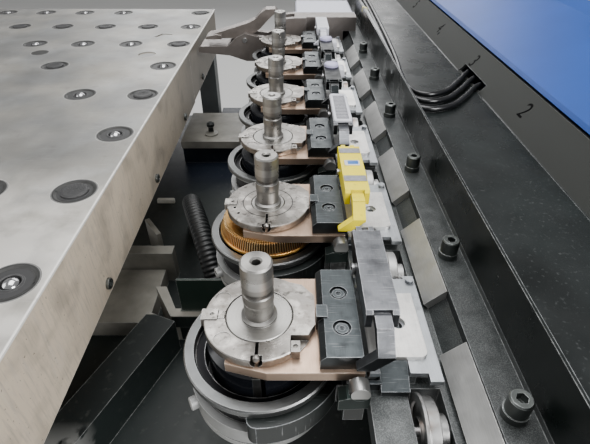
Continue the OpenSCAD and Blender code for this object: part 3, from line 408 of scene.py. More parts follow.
def rounded(width, length, radius, steps=5):
    """Outline of a rectangle with round corners, each a quarter of middle + radius (cos a, sin a)."""
    a = np.linspace(0, math.pi / 2, steps) + np.arange(4)[:, None] * math.pi / 2
    corner = np.array([[1, 1], [-1, 1], [-1, -1], [1, -1]]) * (width / 2 - radius, length / 2 - radius)
    return (corner[:, None] + radius * np.stack([np.cos(a), np.sin(a)], -1)).reshape(-1, 2)


def axes(right, up):
    """Two axes and the third, their cross product, as arrays."""
    right, up = np.asarray(right, float), np.asarray(up, float)
    return right, up, np.cross(right, up)


def pressed(outline, profile, place, right=(1, 0, 0), up=(0, 1, 0)):
    """A flat piece with shaped edges: for each (inset, height) the outline is drawn in and lifted.

    point(u, v) = place + x right + y up + height(u) normal, with (x, y) the outline's point v times
    (reach - inset(u)) / reach.
    """
    reach = np.abs(outline).max(0)
    inset, height = np.asarray(profile, float).T
    flat = outline[None] * (reach - inset[:, None, None]) / reach
    right, up, normal = axes(right, up)
    lifted = flat[..., :1] * right + flat[..., 1:] * up + height[:, None, None] * normal
    return loft(np.asarray(place) + lifted)


def turned_part(profile, place, sides, right=(1, 0, 0), up=(0, 1, 0)):
    """A surface of revolution: point(u, v) = place + r(u) (right cos v + up sin v) + h(u) normal."""
    r, h = np.asarray(profile, float).T[..., None, None]
    right, up, normal = axes(right, up)
    cos, sin = circle(sides)
    return loft(np.asarray(place) + r * (right * cos + up * sin) + h * normal)


def hoop(profile, place, sides):
    """A closed ring round Y: point(u, v) = place + (r(u) cos v, h(u), r(u) sin v), and u closes too."""
    r, h = np.asarray(profile, float).T[:, :, None]
    cos, sin = (part[:, 0] for part in circle(sides))
    ring = np.stack([r * cos, np.repeat(h, sides, 1), r * sin], -1) + place
    return ring.reshape(-1, 3), [net(len(profile) + 1, sides) % (len(profile) * sides)]


def outwards(points, blocks):
    """Turns a closed skin's faces round if its volume, the sum of a . (b x c) / 6, is negative."""
    volume = 0
    for block in blocks:
        corners = points[block]
        second, third = corners[:, 1:-1], corners[:, 2:]
        first = np.broadcast_to(corners[:, :1], second.shape)
        volume += np.einsum("nki,nki->", first, np.cross(second, third))
    return blocks if volume > 0 else [block[:, ::-1] for block in blocks]


def add(name, data):
    """A new object in the scene."""
    made = bpy.data.objects.new(name, data)
    bpy.context.scene.collection.objects.link(made)
    return made


def put(name, mesh, material, body):
    """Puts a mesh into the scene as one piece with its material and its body."""
    mesh.materials.clear()
    mesh.materials.append(material)
    piece = add(name, mesh)
    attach(piece, body)
    return piece


def lay(name, parts, material, body, smooth=True):
    """Joins closed skins into one mesh, its faces outwards, and puts it into the scene."""
    points, faces, start = [], [], 0
    for part, blocks in parts:
        for block in outwards(part, blocks):
            faces += (block + start).tolist()
        points.append(part)
        start += len(part)
    mesh = bpy.data.meshes.new(name)
    mesh.from_pydata(np.concatenate(points).tolist(), [], faces)
    mesh.update()
    mesh.polygons.foreach_set("use_smooth", np.full(len(mesh.polygons), smooth))
    if smooth:
        mesh.set_sharp_from_angle(angle=math.radians(40))
    return put(name, mesh, material, body)


def digit(name, number, height, place, right, up, material, body):
    """A painted plain number, a mesh 0.2 mm thick that stands at its place."""
    curve = bpy.data.curves.new(name, "FONT")
    curve.body = str(number)
    curve.size = height
    curve.extrude = 0.0001
    curve.align_x = curve.align_y = "CENTER"
    made = add(name + "_outline", curve)
    bpy.context.view_layer.update()
    mesh = bpy.data.meshes.new_from_object(made)
    bpy.data.objects.remove(made)
    turn = Matrix(np.stack([right, up, np.cross(right, up)], 1).tolist()).to_4x4()
    mesh.transform(Matrix.Translation(place) @ turn)
    put(name, mesh, material, body)


# Sizes and colours that a user may change


def paint(name, pieces, code):
    """A colour property with its default as a paint code."""
    words = f"Colour of the {pieces}"
    return FloatVectorProperty(
        name=name, description=words, subtype="COLOR", size=3, min=0, max=1, default=tint(code)
    )


def power(name, default):
    """A property for the power of one light."""
    words = f"Power of the {name.lower()}"
    return FloatProperty(name=name, description=words, default=default, min=0, max=1000)


class StationLook(bpy.types.PropertyGroup):
    punch: paint("Punch steel", "punches", "a3a19d")
    ring: paint("Ring steel", "alignment rings", "98948f")
    jaw: paint("Jaw plate steel", "jaw plates", "c9ad97")
    cassette: paint("Cassette", "cassettes", "4f5456")
    die: paint("Die steel", "dies", "a5a6a5")
    guide: paint("Punch guide", "punch guides", "15171c")
    teeth: paint("Toothed ring", "toothed ring", "dca654")


class LeverLook(bpy.types.PropertyGroup):
    steel: paint("Lever steel", "steel levers", "808286")
    yellow: paint("Yellow lever", "lever of the turning tool", "f0dc00")
    pale: paint("Pale plastic", "pale lever and of the frames", "cfd0d8")
    cap: paint("Cap", "round caps", "b9b6d6")
    field: paint("Field", "bare field on the yellow lever", "1f66b0")
    pad: paint("Pad", "inset pads", "85858a")


class RailLook(bpy.types.PropertyGroup):
    beam: paint("Rail", "rail", "2c3131")
    bracket: paint("Bracket", "station brackets", "b9bdc1")
    cover_plate: paint("Cover plate", "bright cover plates", "eceae6")
    wedge: paint("Wedge plate", "wedge plates", "b4b4b2")
    clamp: paint("Clamp", "sheet clamp", "8f8884")
    carriage: paint("Carriage", "clamp carriage's top", "c4c6d4")


class TroughLook(bpy.types.PropertyGroup):
    sheet: paint("Trough", "trough", "171b1b")
    cover: paint("Side cover", "side cover", "104698")
    hose: paint("Hose", "hoses", "0b0c0e")
    tie: paint("Tie", "tie on the light tube", "e6df9a")
    hose_radius: FloatProperty(
        name="Hose radius", description="Radius of a hose", unit="LENGTH",
        default=0.005, min=0.003, max=0.006,
    )
    hose_sides: IntProperty(
        name="Hose sides", description="Sides of a hose's section", default=20, min=8, max=48
    )
    figure_height: FloatProperty(
        name="Figure height", description="Height of the numbers on the strip", unit="LENGTH",
        default=0.038, min=0.01, max=0.045,
    )


class TableLook(bpy.types.PropertyGroup):
    sheet: paint("Table sheet", "table top", "aeaba4")
    apron: paint("Apron", "apron along the rail", "d6c7b2")
    insert: paint("Insert", "inserts", "353534")
    ball: paint("Ball", "steel balls", "c6c6c8")
    bristle: paint("Bristle", "bristles", "2a2a2b")
    tufts: IntProperty(name="Tufts", description="Tufts in a brush", default=90, min=20, max=140)


class BedLook(bpy.types.PropertyGroup):
    paint: paint("Bed paint", "dark deck and bed", "1b2120")
    support: paint("Support paint", "light beams on the deck", "96938a")
    frame: paint("Frame paint", "table's frame", "5d6263")


class StageLook(bpy.types.PropertyGroup):
    floor: paint("Floor", "floor", "d8d8d6")
    key_power: power("Overhead light", 78)
    far_power: power("Far light", 62)
    left_power: power("Left light", 34)
    right_power: power("Right light", 62)


# One operator for each piece or group of like pieces


class MAGAZINE_OT_punches(bpy.types.Operator):
    """Finish the punches: turned satin steel with lighter bands and a dirty one"""

    bl_idname = "magazine.punches"
    bl_label = "Punches"

    def execute(self, context):
        f = ground_steel("Turned punch steel", context.scene.station_look.punch, 0.3, "Z", 0.9)
        grime = f.clouds(0.012, 0.35, 0.6, 5)
        dirty, lower, bright = 0.962, 0.9345, 0.975
        f.coat((0.1, 0.095, 0.09), f.band(f.z, dirty, 0.0028, 0.0012), grime, 0.9)
        f.coat((0.2, 0.19, 0.18), f.band(f.z, lower, 0.003, 0.0015), grime, 0.6)
        f.coat((0.78, 0.77, 0.75), f.band(f.z, bright, 0.004, 0.001), 0.35)
        # Grime and painted shade in the punch's corners.
        f.scratched((0.25, 0.25, 0.26), 0.25, 1.1, 0.01).grimy((0.06, 0.055, 0.05), 0.7)
        f.rubbed(0.0006, (0.85, 0.85, 0.84), 0.6).dress(*each("punch"))
        return {"FINISHED"}


class MAGAZINE_OT_rings(bpy.types.Operator):
    """Finish the alignment rings: ground steel, a dark seat circle that paints the shade in its gap,
    painted shade on the sides, fine scratches, and grime and painted shade in the corners
    """

    bl_idname = "magazine.rings"
    bl_label = "Alignment rings"

    def execute(self, context):
        f = ground_steel("Ground ring steel", context.scene.station_look.ring, 0.3, "Z", 0.92)
        f.stained(0.025, (0.22, 0.2, 0.18), 0.48, 0.66, 0.6)
        f.stained(0.006, (0.14, 0.12, 0.1), 0.58, 0.7, 0.55)
        f.stained(0.014, (0.75, 0.71, 0.66), 0.5, 0.65, 0.5)
        f.scratched((0.75, 0.74, 0.72), 0.3, 0.4, 0.012)
        f.stained(0.009, (0.05, 0.045, 0.04), 0.6, 0.68, 0.7)
        # Painted shade: a near-black circle at the seat's radius stands for the shade in the gap between
        # the ring and its seat.
        seat_radius = 0.0301
        f.coat((0.02, 0.02, 0.02), f.band(f.radius(), seat_radius, 0.0005, 0.0003), 0.9)
        # Painted shade: the ring's sides below its top are darkened, and below 0.9175 m it is nearly
        # black.
        f.coat((0.2, 0.175, 0.15), f.ramp(f.z, 0.9268, 0.925), 0.6)
        f.coat((0.05, 0.045, 0.04), f.ramp(f.z, 0.9195, 0.9175), 0.8)
        # Grime and painted shade in the ring's corners.
        f.grimy((0.03, 0.026, 0.022), 0.95, 0.005)
        f.rubbed(0.0008, (0.85, 0.84, 0.82), 0.8).dress(*each("align_ring"))
        return {"FINISHED"}


class MAGAZINE_OT_jaw_plates(bpy.types.Operator):
    """Finish the jaw plates: ground steel with a copper tint, bright edges, and painted shade on the faces
    below the top and in the corners
    """

    bl_idname = "magazine.jaw_plates"
    bl_label = "Jaw plates"

    def execute(self, context):
        f = ground_steel("Tinted jaw steel", context.scene.station_look.jaw, 0.34, None, 0.85)
        f.stained(0.03, (0.24, 0.16, 0.12), 0.5, 0.72, 0.45)
        f.stained(0.008, (0.1, 0.07, 0.05), 0.62, 0.75, 0.5)
        # Painted shade: the faces below 0.917 m are darkened, and grime and painted shade go into the
        # corners.
        f.coat((0.2, 0.16, 0.13), f.ramp(f.z, 0.9182, 0.917), 0.55).grimy((0.05, 0.04, 0.03), 0.8)
        f.rubbed(0.001, (0.92, 0.82, 0.72), 0.95).dress("jaw_plates")
        return {"FINISHED"}


class MAGAZINE_OT_cassettes(bpy.types.Operator):
    """Finish the cassettes and catches: burnished blocks with painted shade on their sides, black forks
    below that carry painted shade too, bright edges
    """

    bl_idname = "magazine.cassettes"
    bl_label = "Cassettes"

    def execute(self, context):
        f = ground_steel("Burnished cassette steel", context.scene.station_look.cassette, 0.36)
        # Painted shade on the faces that don't look up.
        f.stained(0.012, (0.03, 0.032, 0.034), 0.5, 0.72, 0.5).coat((0.035, 0.038, 0.04), f.sides(), 0.6)
        # Below 0.904 m the colour is near-black: black forks, with painted shade under the block; then
        # grime and painted shade in the corners.
        low = f.ramp(f.z, 0.904, 0.896)
        f.coat((0.006, 0.009, 0.008), low, 0.95).changed(low, 0.0, 0.45).grimy((0.012, 0.013, 0.014), 0.9)
        f.scratched((0.5, 0.51, 0.52), 0.3, 0.2, 0.03).rubbed(0.0014, (0.48, 0.5, 0.52), 0.95)
        f.dress(*each("cassette"))
        c = ground_steel("Dull catch steel", tint("2e3634"), 0.42)
        nub = c.ramp(c.z, 0.9095, 0.9105)
        c.coat((0.42, 0.42, 0.41), nub).changed(nub, 1.0, 0.38)
        c.rubbed(0.001, (0.38, 0.4, 0.39), 0.8).dress("catches")
        return {"FINISHED"}


class MAGAZINE_OT_levers(bpy.types.Operator):
    """Finish the lock levers and lay on their pads, frames, caps and the bare field"""

    bl_idname = "magazine.levers"
    bl_label = "Lock levers"

    def execute(self, context):
        look = context.scene.lever_look
        f = ground_steel("Scratched lever steel", look.steel, 0.36)
        f.stained(0.02, (0.05, 0.05, 0.055), 0.48, 0.7, 0.7)
        # Painted shade on the steel levers' faces that don't look up.
        f.coat((0.04, 0.042, 0.045), f.sides(), 0.8)
        f.scratched((0.62, 0.62, 0.64), 0.5, 0.1, 0.03).rubbed(0.0014, (0.68, 0.68, 0.7), 0.9)
        # Painted shade: below 0.943 m the legs are darkened where they drop into shade.
        f.coat((0.015, 0.017, 0.018), f.ramp(f.z, 0.949, 0.943), 0.8)
        f.dress("lock_lever_1", "lock_lever_3")
        k = ground_steel("Black lever steel", tint("1d2021"), 0.4)
        k.scratched((0.3, 0.3, 0.31), 0.4, 0.1, 0.03)
        k.rubbed(0.0014, (0.42, 0.43, 0.44), 0.85).dress("lock_lever_4", "lock_lever_5")
        y = plastic("Yellow lever plastic", look.yellow, 0.42, 0.03, 0.92, 1.05)
        y.stained(0.01, (0.3, 0.26, 0.03), 0.62, 0.8, 0.5).grained(0.0007, 0.00002)
        # Grime and painted shade in the yellow lever's corners.
        y.grimy((0.2, 0.16, 0.01), 0.6).rubbed(0.001, (0.95, 0.9, 0.25), 0.4)
        y.dress("lock_lever_2")
        p = plastic("Pale lever plastic", look.pale, 0.4, 0.03, 0.9, 1.05).grained(0.0007, 0.00002)
        pale = p.rubbed(0.001, (0.9, 0.9, 0.92), 0.5).dress("lock_lever_6")
        grey = plastic("Grey inset pad", look.pad, 0.5, 0.004, 0.8, 1.2).grained(0.0005, 0.00003).done()
        blue = plastic("Blue field", look.field, 0.35, 0.008, 0.9, 1.08).done()
        c = plastic("Round cap plastic", look.cap, 0.42, 0.01, 0.9, 1.06)
        lilac = c.rubbed(0.0008, (0.85, 0.84, 0.95), 0.6).done()
        self.pads(grey, pale, blue)
        self.ribbed_frame(grey, pale)
        self.caps(lilac, pale)
        return {"FINISHED"}

    def pads(self, grey, pale, blue):
        """The second lever's two pads and its bordered bare field."""
        second = station_y(2)
        field_y = second + 0.036
        edge = [(0, 0.0001), (0, 0.0007), (0.0004, 0.001)]
        outline = rounded(0.0268, 0.0125, 0.0012)
        pads = [pressed(outline, edge, (LEVER_X, second + y, LEVER_TOP)) for y in (-0.001, 0.0675)]
        lay("lever_pads", pads, grey, "lever_2")
        border = pressed(rounded(0.019, 0.0125, 0.0015), edge, (LEVER_X, field_y, LEVER_TOP))
        lay("lever_border", [border], pale, "lever_2")
        top = [(0, 0.0009), (0, 0.0012), (0.0003, 0.0014)]
        field = pressed(rounded(0.013, 0.0085, 0.001), top, (LEVER_X + 0.001, field_y, LEVER_TOP))
        lay("lever_field", [field], blue, "lever_2")

    def ribbed_frame(self, grey, pale):
        """The third lever's frame and ribs: height(y) = middle + swing * a clipped cosine of y / pitch."""
        place = (LEVER_X, station_y(3) + 0.0275, LEVER_TOP)
        edge = [(0, 0.0001), (0, 0.0022), (0.0008, 0.003), (0.0042, 0.003), (0.0046, 0.0012)]
        frame_skin = pressed(rounded(0.027, 0.104, 0.003), edge, place)
        lay("lever_frame", [frame_skin], pale, "lever_3")
        half_width, half_length, pitch = 0.0088, 0.0465, 0.0055
        base, middle, swing = 0.0011, 0.0016, 0.0006
        y = np.linspace(-half_length, half_length, 187)
        high = middle + swing * np.clip(np.cos(y / pitch * 2 * math.pi) * 2, -1, 1)
        low = np.full_like(y, base)
        lift = np.stack([low, low, high, high], 1)
        across = np.broadcast_to(half_width * np.array([-1, 1, 1, -1]), lift.shape)
        ribs = np.stack([across, np.repeat(y[:, None], 4, 1), lift], -1)
        lay("lever_ribs", [loft(ribs + place)], grey, "lever_3", False)

    def caps(self, lilac, pale):
        """The round caps and the side blocks of the fourth and the fifth lever."""
        dome = [
            (0.0135, 0.0001), (0.0135, 0.0042), (0.0125, 0.0054), (0.0085, 0.0062), (0.008, 0.0056),
            (0.003, 0.006),
        ]
        outline = rounded(0.03, 0.016, 0.003)
        edge = [(0, 0), (0, 0.0085), (0.0012, 0.01)]
        for k in (4, 5):
            y = station_y(k) + 0.048
            cap = turned_part(dome, (LEVER_X, y, LEVER_TOP), 40)
            lay(f"lever_cap_{k}", [cap], lilac, f"lever_{k}")
            block = pressed(outline, edge, (LEVER_X + 0.0141, y, 0.9525), (0, 1, 0), (0, 0, 1))
            lay(f"lever_block_{k}", [block], pale, f"lever_{k}")


class MAGAZINE_OT_dies(bpy.types.Operator):
    """Finish the dies, the black punch guides with their keys and the toothed ring"""

    bl_idname = "magazine.dies"
    bl_label = "Dies and guides"

    def execute(self, context):
        look = context.scene.station_look
        f = ground_steel("Satin die steel", look.die, 0.34, "Z", 0.92)
        f.coat((0.13, 0.135, 0.135), f.ramp(f.z, 0.8815, 0.8825), 0.9)
        f.stained(0.04, (0.12, 0.12, 0.12), 0.5, 0.7, 0.45).changed(f.ramp(f.z, 0.88, 0.874), 0.4, 0.42)
        # Painted shade: inside the die ring, within 62.4 mm of the axis and above 0.842 m, the colour is
        # near-black.
        f.coat((0.006, 0.006, 0.007), f.ramp(f.radius(), 0.0632, 0.0624), f.ramp(f.z, 0.838, 0.842))
        # Grime and painted shade in the die's corners.
        f.grimy((0.03, 0.03, 0.03), 0.7)
        f.rubbed(0.0012, (0.8, 0.8, 0.79), 0.85).dress(*each("die"))
        g = Finish("Black guide coat", look.guide, 0.2, 0.16, Specular_IOR_Level=0.7)
        g.mottled(0.02, 0.7, 1.4, 4).sheen(g.noise(0.015), 0.12, 0.3)
        away = g.wrapped(g.y, FIRST_Y, PITCH)
        key = g.product(
            g.band(g.sum("SUBTRACT", g.x, STATION_X), -0.0012, 0.0034, 0.0001),
            g.band(away, -0.037, 0.0116, 0.0002), g.ramp(g.z, 0.9012, 0.9008),
        )
        g.coat((0.62, 0.62, 0.61), key).changed(key, 1.0, 0.3).dress("punch_guides")
        t = Finish("Gold toothed ring", look.teeth, 1.0, 0.3)
        angle = t.sum("ARCTAN2", t.sum("SUBTRACT", t.y, station_y(2)), t.sum("SUBTRACT", t.x, STATION_X))
        wave = t.sum("COSINE", t.sum("SUBTRACT", t.sum("MULTIPLY", angle, TEETH), math.pi / 2))
        toothed = t.ramp(t.z, 0.8936, 0.8942)
        # Painted shade: the gaps between the teeth are darkened.
        tooth_gap_shade = t.product(t.ramp(wave, 0.15, -0.35), toothed, t.ramp(t.radius(), 0.052, 0.054))
        t.mottled(0.02, 0.8, 1.1, 5).coat((0.05, 0.03, 0.012), tooth_gap_shade, 0.9)
        # Painted highlight on the tips of the teeth.
        t.coat((0.98, 0.86, 0.6), t.ramp(wave, 0.7, 0.95), toothed, 0.6)
        t.stained(0.01, (0.18, 0.11, 0.05), 0.56, 0.72, 0.5)
        t.rubbed(0.0006, (0.98, 0.84, 0.55), 0.6).dress("toothed_ring")
        return {"FINISHED"}


class MAGAZINE_OT_rollers(bpy.types.Operator):
    """Finish the rollers, the pins and the screws"""

    bl_idname = "magazine.rollers"
    bl_label = "Rollers and pins"

    def execute(self, context):
        f = ground_steel("Turned roller steel", tint("a9a9a8"), 0.3, "X")
        f.stained(0.02, (0.2, 0.1, 0.05), 0.55, 0.72, 0.6)
        f.rubbed(0.001, (0.85, 0.85, 0.85), 0.6).dress(*each("roller"))
        p = ground_steel("Bright pin steel", tint("b4b4b5"), 0.25)
        p.rubbed(0.0006, (0.85, 0.85, 0.85), 0.6).dress("pivot_pins")
        s = ground_steel("Black screw steel", tint("6e7270"), 0.36)
        s.rubbed(0.001, (0.55, 0.57, 0.57), 0.95).dress("rail_screws", "apron_screws")
        return {"FINISHED"}


class MAGAZINE_OT_brackets(bpy.types.Operator):
    """Finish the brackets, the bright cover plates and the wedge plates"""

    bl_idname = "magazine.brackets"
    bl_label = "Brackets and plates"

    def execute(self, context):
        look = context.scene.rail_look
        b = ground_steel("Milled bracket aluminium", look.bracket, 0.4)
        # Grime and painted shade in the brackets' corners.
        b.stained(0.01, (0.16, 0.16, 0.16), 0.56, 0.72, 0.5).grimy((0.04, 0.04, 0.04), 0.9)
        b.rubbed(0.0008, (0.85, 0.86, 0.88), 0.7).dress("station_brackets")
        c = ground_steel("Bright cover sheet", look.cover_plate, 0.34, None, 0.9)
        c.stained(0.012, (0.4, 0.4, 0.39), 0.55, 0.72, 0.35)
        c.scratched((0.45, 0.45, 0.45), 0.4, 0.3, 0.012)
        c.rubbed(0.0006, (0.95, 0.95, 0.95), 0.5).dress("cover_plates")
        w = ground_steel("Satin wedge plate", look.wedge, 0.4, None, 0.6)
        w.stained(0.05, (0.22, 0.22, 0.215), 0.5, 0.72, 0.45)
        w.rubbed(0.0014, (0.92, 0.92, 0.89), 0.95).dress("wedge_plates")
        return {"FINISHED"}


class MAGAZINE_OT_rail(bpy.types.Operator):
    """Finish the rail: black paint with a grainy sheen, whose sparkle is painted as light specks, and worn
    corners
    """

    bl_idname = "magazine.rail"
    bl_label = "Rail"

    def execute(self, context):
        f = Finish("Grainy rail black", context.scene.rail_look.beam, 0.25, 0.36, Specular_IOR_Level=0.8)
        f.mottled(0.05, 0.6, 1.4, 5)
        # Painted highlight: fine light specks stand for the sparkle of the grainy sheen.
        f.stained(0.0008, (0.22, 0.23, 0.23), 0.42, 0.68, 0.5)
        f.stained(0.012, (0.012, 0.014, 0.014), 0.5, 0.7, 0.5)
        f.sheen(f.noise(0.02, detail=4), 0.28, 0.5).grained(0.0012, 0.00008, 2)
        f.rubbed(0.0016, (0.36, 0.37, 0.37), 0.85).dress("rail_beam")
        g = ground_steel("Ground guide steel", tint("9b9c9d"), 0.25)
        g.dress("guide_rails", "guide_blocks")
        return {"FINISHED"}


class MAGAZINE_OT_trough(bpy.types.Operator):
    """Finish the trough and the side cover, and lay on the numbers, the light tube and its tie"""

    bl_idname = "magazine.trough"
    bl_label = "Trough and cover"

    def execute(self, context):
        look = context.scene.trough_look
        t = plastic("Trough black", look.sheet, 0.26, 0.08, 0.6, 1.5, Specular_IOR_Level=0.5)
        t.stained(0.004, (0.07, 0.075, 0.075), 0.6, 0.75, 0.5)
        t.stained(0.25, (0.022, 0.025, 0.025), 0.45, 0.62, 0.6)
        t.sheen(t.noise(0.05, detail=5), 0.2, 0.4)
        # Painted shade: the wall's left face, at x below 0.384 m, is painted near-black.
        wall = t.ramp(t.x, 0.3846, 0.384)
        t.coat((0.003, 0.005, 0.0045), wall, 0.95)
        strip = t.ramp(t.x, 0.54, 0.5415)
        t.coat((0.036, 0.038, 0.035), strip, 0.9).changed(strip, None, 0.6)
        t.feed(t.shader.inputs["Specular IOR Level"], t.between(0.4, 0.15, strip))
        t.grained(0.003, 0.00004, 2)
        # The bright rubbed edges are partly worn paint and partly a painted highlight along the wall's top
        # edge.
        t.rubbed(0.0014, (0.34, 0.35, 0.35), 0.95).dress("cable_trough")
        b = plastic("Blue cover paint", look.cover, 0.42, 0.2, 0.85, 1.1, Specular_IOR_Level=0.4)
        b.grained(0.0025, 0.00004, 2).dress("side_cover")
        self.numbers(look.figure_height)
        self.light_tube()
        self.tie(look.tie)
        return {"FINISHED"}

    def numbers(self, height):
        """Plain numbers on the strip's middle line, and its screw."""
        f = plastic("Figure paint", tint("040405"), 0.7, 0.003, 0.8, 1.2, 3, Specular_IOR_Level=0.05)
        ink = f.done()
        foot, along = np.array([STRIP_FOOT[0], 0, STRIP_FOOT[1]]), np.array(STRIP_ALONG)
        across = (0, -1, 0)
        half_width, lift, screw_y, screw_along = 0.0328, 0.00014, 0.274, 0.0225
        middle = foot + half_width * along + lift * np.cross(across, along)
        for number, y in enumerate(NUMBER_Y, 1):
            name, place = f"strip_number_{number}", middle + (0, y, 0)
            digit(name, number, height, place, across, STRIP_ALONG, ink, "rail")
        steel = ground_steel("Strip screw steel", tint("2a2d2d"), 0.4).done()
        head = [(0.0042, 0), (0.0042, 0.0006), (0.0036, 0.0011), (0.0021, 0.0011), (0.0019, 0.0004)]
        screw = turned_part(head, foot + (0, screw_y, 0) + screw_along * along, 28, across, STRIP_ALONG)
        lay("strip_screw", [screw], steel, "rail")

    def light_tube(self):
        """The light grey tube: it runs along the wall from its plug to the grommet and goes through."""
        grey = plastic("Light grey tube", tint("a9acad"), 0.4, 0.02, 0.85, 1.08, 3).done()
        plug_x, plug_z = 0.3945, 0.9505
        centre = [
            (plug_x, 0.755, plug_z), (plug_x, 0.7, 0.9515), (0.3915, 0.56, 0.968), TIE_PLACE,
            (TUBE_X, 0.22, 0.977), (TUBE_X, 0.06, 0.9735), (TUBE_X, -0.02, 0.969),
            (0.388, -0.044, 0.967), (0.385, -0.054, 0.966), (0.382, -0.057, 0.966),
        ]
        plug = [(0.0062, 0), (0.0062, 0.01), (0.0052, 0.012), (0.0052, 0.016)]
        parts = [
            tube(curve_through(centre, 10), 0.004, 18),
            turned_part(plug, (plug_x, 0.7645, plug_z), 6, (1, 0, 0), (0, 0, 1)),
        ]
        lay("light_tube", parts, grey, "rail")
        dark = plastic("Rubber grommet", tint("141516"), 0.55, 0.004, 0.8, 1.2, 3).done()
        profile = [(0.0041, 0), (0.007, 0), (0.007, 0.0016), (0.006, 0.0024), (0.0041, 0.0024)]
        eye = turned_part(profile, (0.38455, -0.0545, 0.966), 28, (0, 1, 0), (0, 0, 1))
        lay("tube_grommet", [eye], dark, "rail")

    def tie(self, colour):
        """The pale tie: a band round the tube and a strap that hooks over the wall."""
        pale = plastic("Pale tie plastic", colour, 0.4, 0.004, 0.9, 1.06, 3).done()
        inner, outer, half = 0.0042, 0.0056, 0.004
        band = hoop([(inner, -half), (outer, -half), (outer, half), (inner, half)], TIE_PLACE, 32)
        hook = np.array([
            [0.3862, 0.972], [0.3862, 0.986], [0.3804, 0.986], [0.3804, 0.974],
            [0.3814, 0.974], [0.3814, 0.9846], [0.3848, 0.9846], [0.3848, 0.972],
        ])
        ends = np.array([TIE_PLACE[1] - half, TIE_PLACE[1] + half])[:, None]
        x, z = (np.broadcast_to(hook[:, i], (2, len(hook))) for i in (0, 1))
        strap = np.stack([x, np.repeat(ends, len(hook), 1), z], -1)
        lay("tube_tie", [band, loft(strap)], pale, "rail", False)


class MAGAZINE_OT_hoses(bpy.types.Operator):
    """Lay the smooth hoses along the wall and across the floor of the trough, with their couplings"""

    bl_idname = "magazine.hoses"
    bl_label = "Hoses"

    def execute(self, context):
        look = context.scene.trough_look
        f = plastic("Smooth black hose", look.hose, 0.26, 0.03, 0.8, 1.5, 3, Specular_IOR_Level=0.6)
        f.grained(0.0015, 0.00003)
        nut = f.ramp(f.y, 0.7385, 0.7395)
        f.coat((0.3, 0.3, 0.29), nut).changed(nut, 0.9, 0.35)
        radius = look.hose_radius
        sleeve = [(radius, 0.026), (radius + 0.0006, 0.026), (radius + 0.0006, 0.016), (radius, 0.0155)]
        hexagon = [(radius, 0.0155), (radius + 0.0008, 0.015), (radius + 0.0008, 0.001), (radius, 0.0)]
        parts = []
        for route in HOSE_ROUTES:
            flat = curve_through(np.array(route) / 1000, 12)
            path = np.concatenate([flat, np.full((len(flat), 1), HOSE_Z)], 1)
            end = (route[0][0] / 1000, HOSE_END_Y, HOSE_Z)
            parts += [
                tube(path, radius, look.hose_sides),
                turned_part(sleeve, end, 28, (1, 0, 0), (0, 0, 1)),
                turned_part(hexagon, end, 6, (1, 0, 0), (0, 0, 1)),
            ]
        piece = lay("hose_bundle", parts, f.done(), "rail")
        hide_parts("hoses")
        return {"FINISHED"}


class MAGAZINE_OT_clamp(bpy.types.Operator):
    """Finish the sheet clamp: warm grey cast steel, rubbed on its edges, and the pale carriage"""

    bl_idname = "magazine.clamp"
    bl_label = "Sheet clamp"

    def execute(self, context):
        look = context.scene.rail_look
        f = ground_steel("Warm clamp steel", look.clamp, 0.42, None, 0.85)
        f.stained(0.03, (0.19, 0.17, 0.16), 0.5, 0.72, 0.5)
        carriage = f.inside((0.203, 0.453, 0.905), (0.372, 0.61, 0.975))
        f.coat((0.045, 0.04, 0.03), carriage, 0.9)
        top = f.product(carriage, f.ramp(f.z, 0.9535, 0.955))
        f.coat(look.carriage, top).changed(carriage, 0.4, 0.4)
        f.rubbed(0.0015, (0.74, 0.72, 0.7), 0.8).dress("clamp_body")
        j = ground_steel("Bright clamp jaw", tint("958d88"), 0.38, None, 0.85)
        j.stained(0.02, (0.22, 0.19, 0.17), 0.5, 0.7, 0.4)
        j.rubbed(0.0015, (0.78, 0.75, 0.72), 0.85).dress("clamp_jaw")
        return {"FINISHED"}


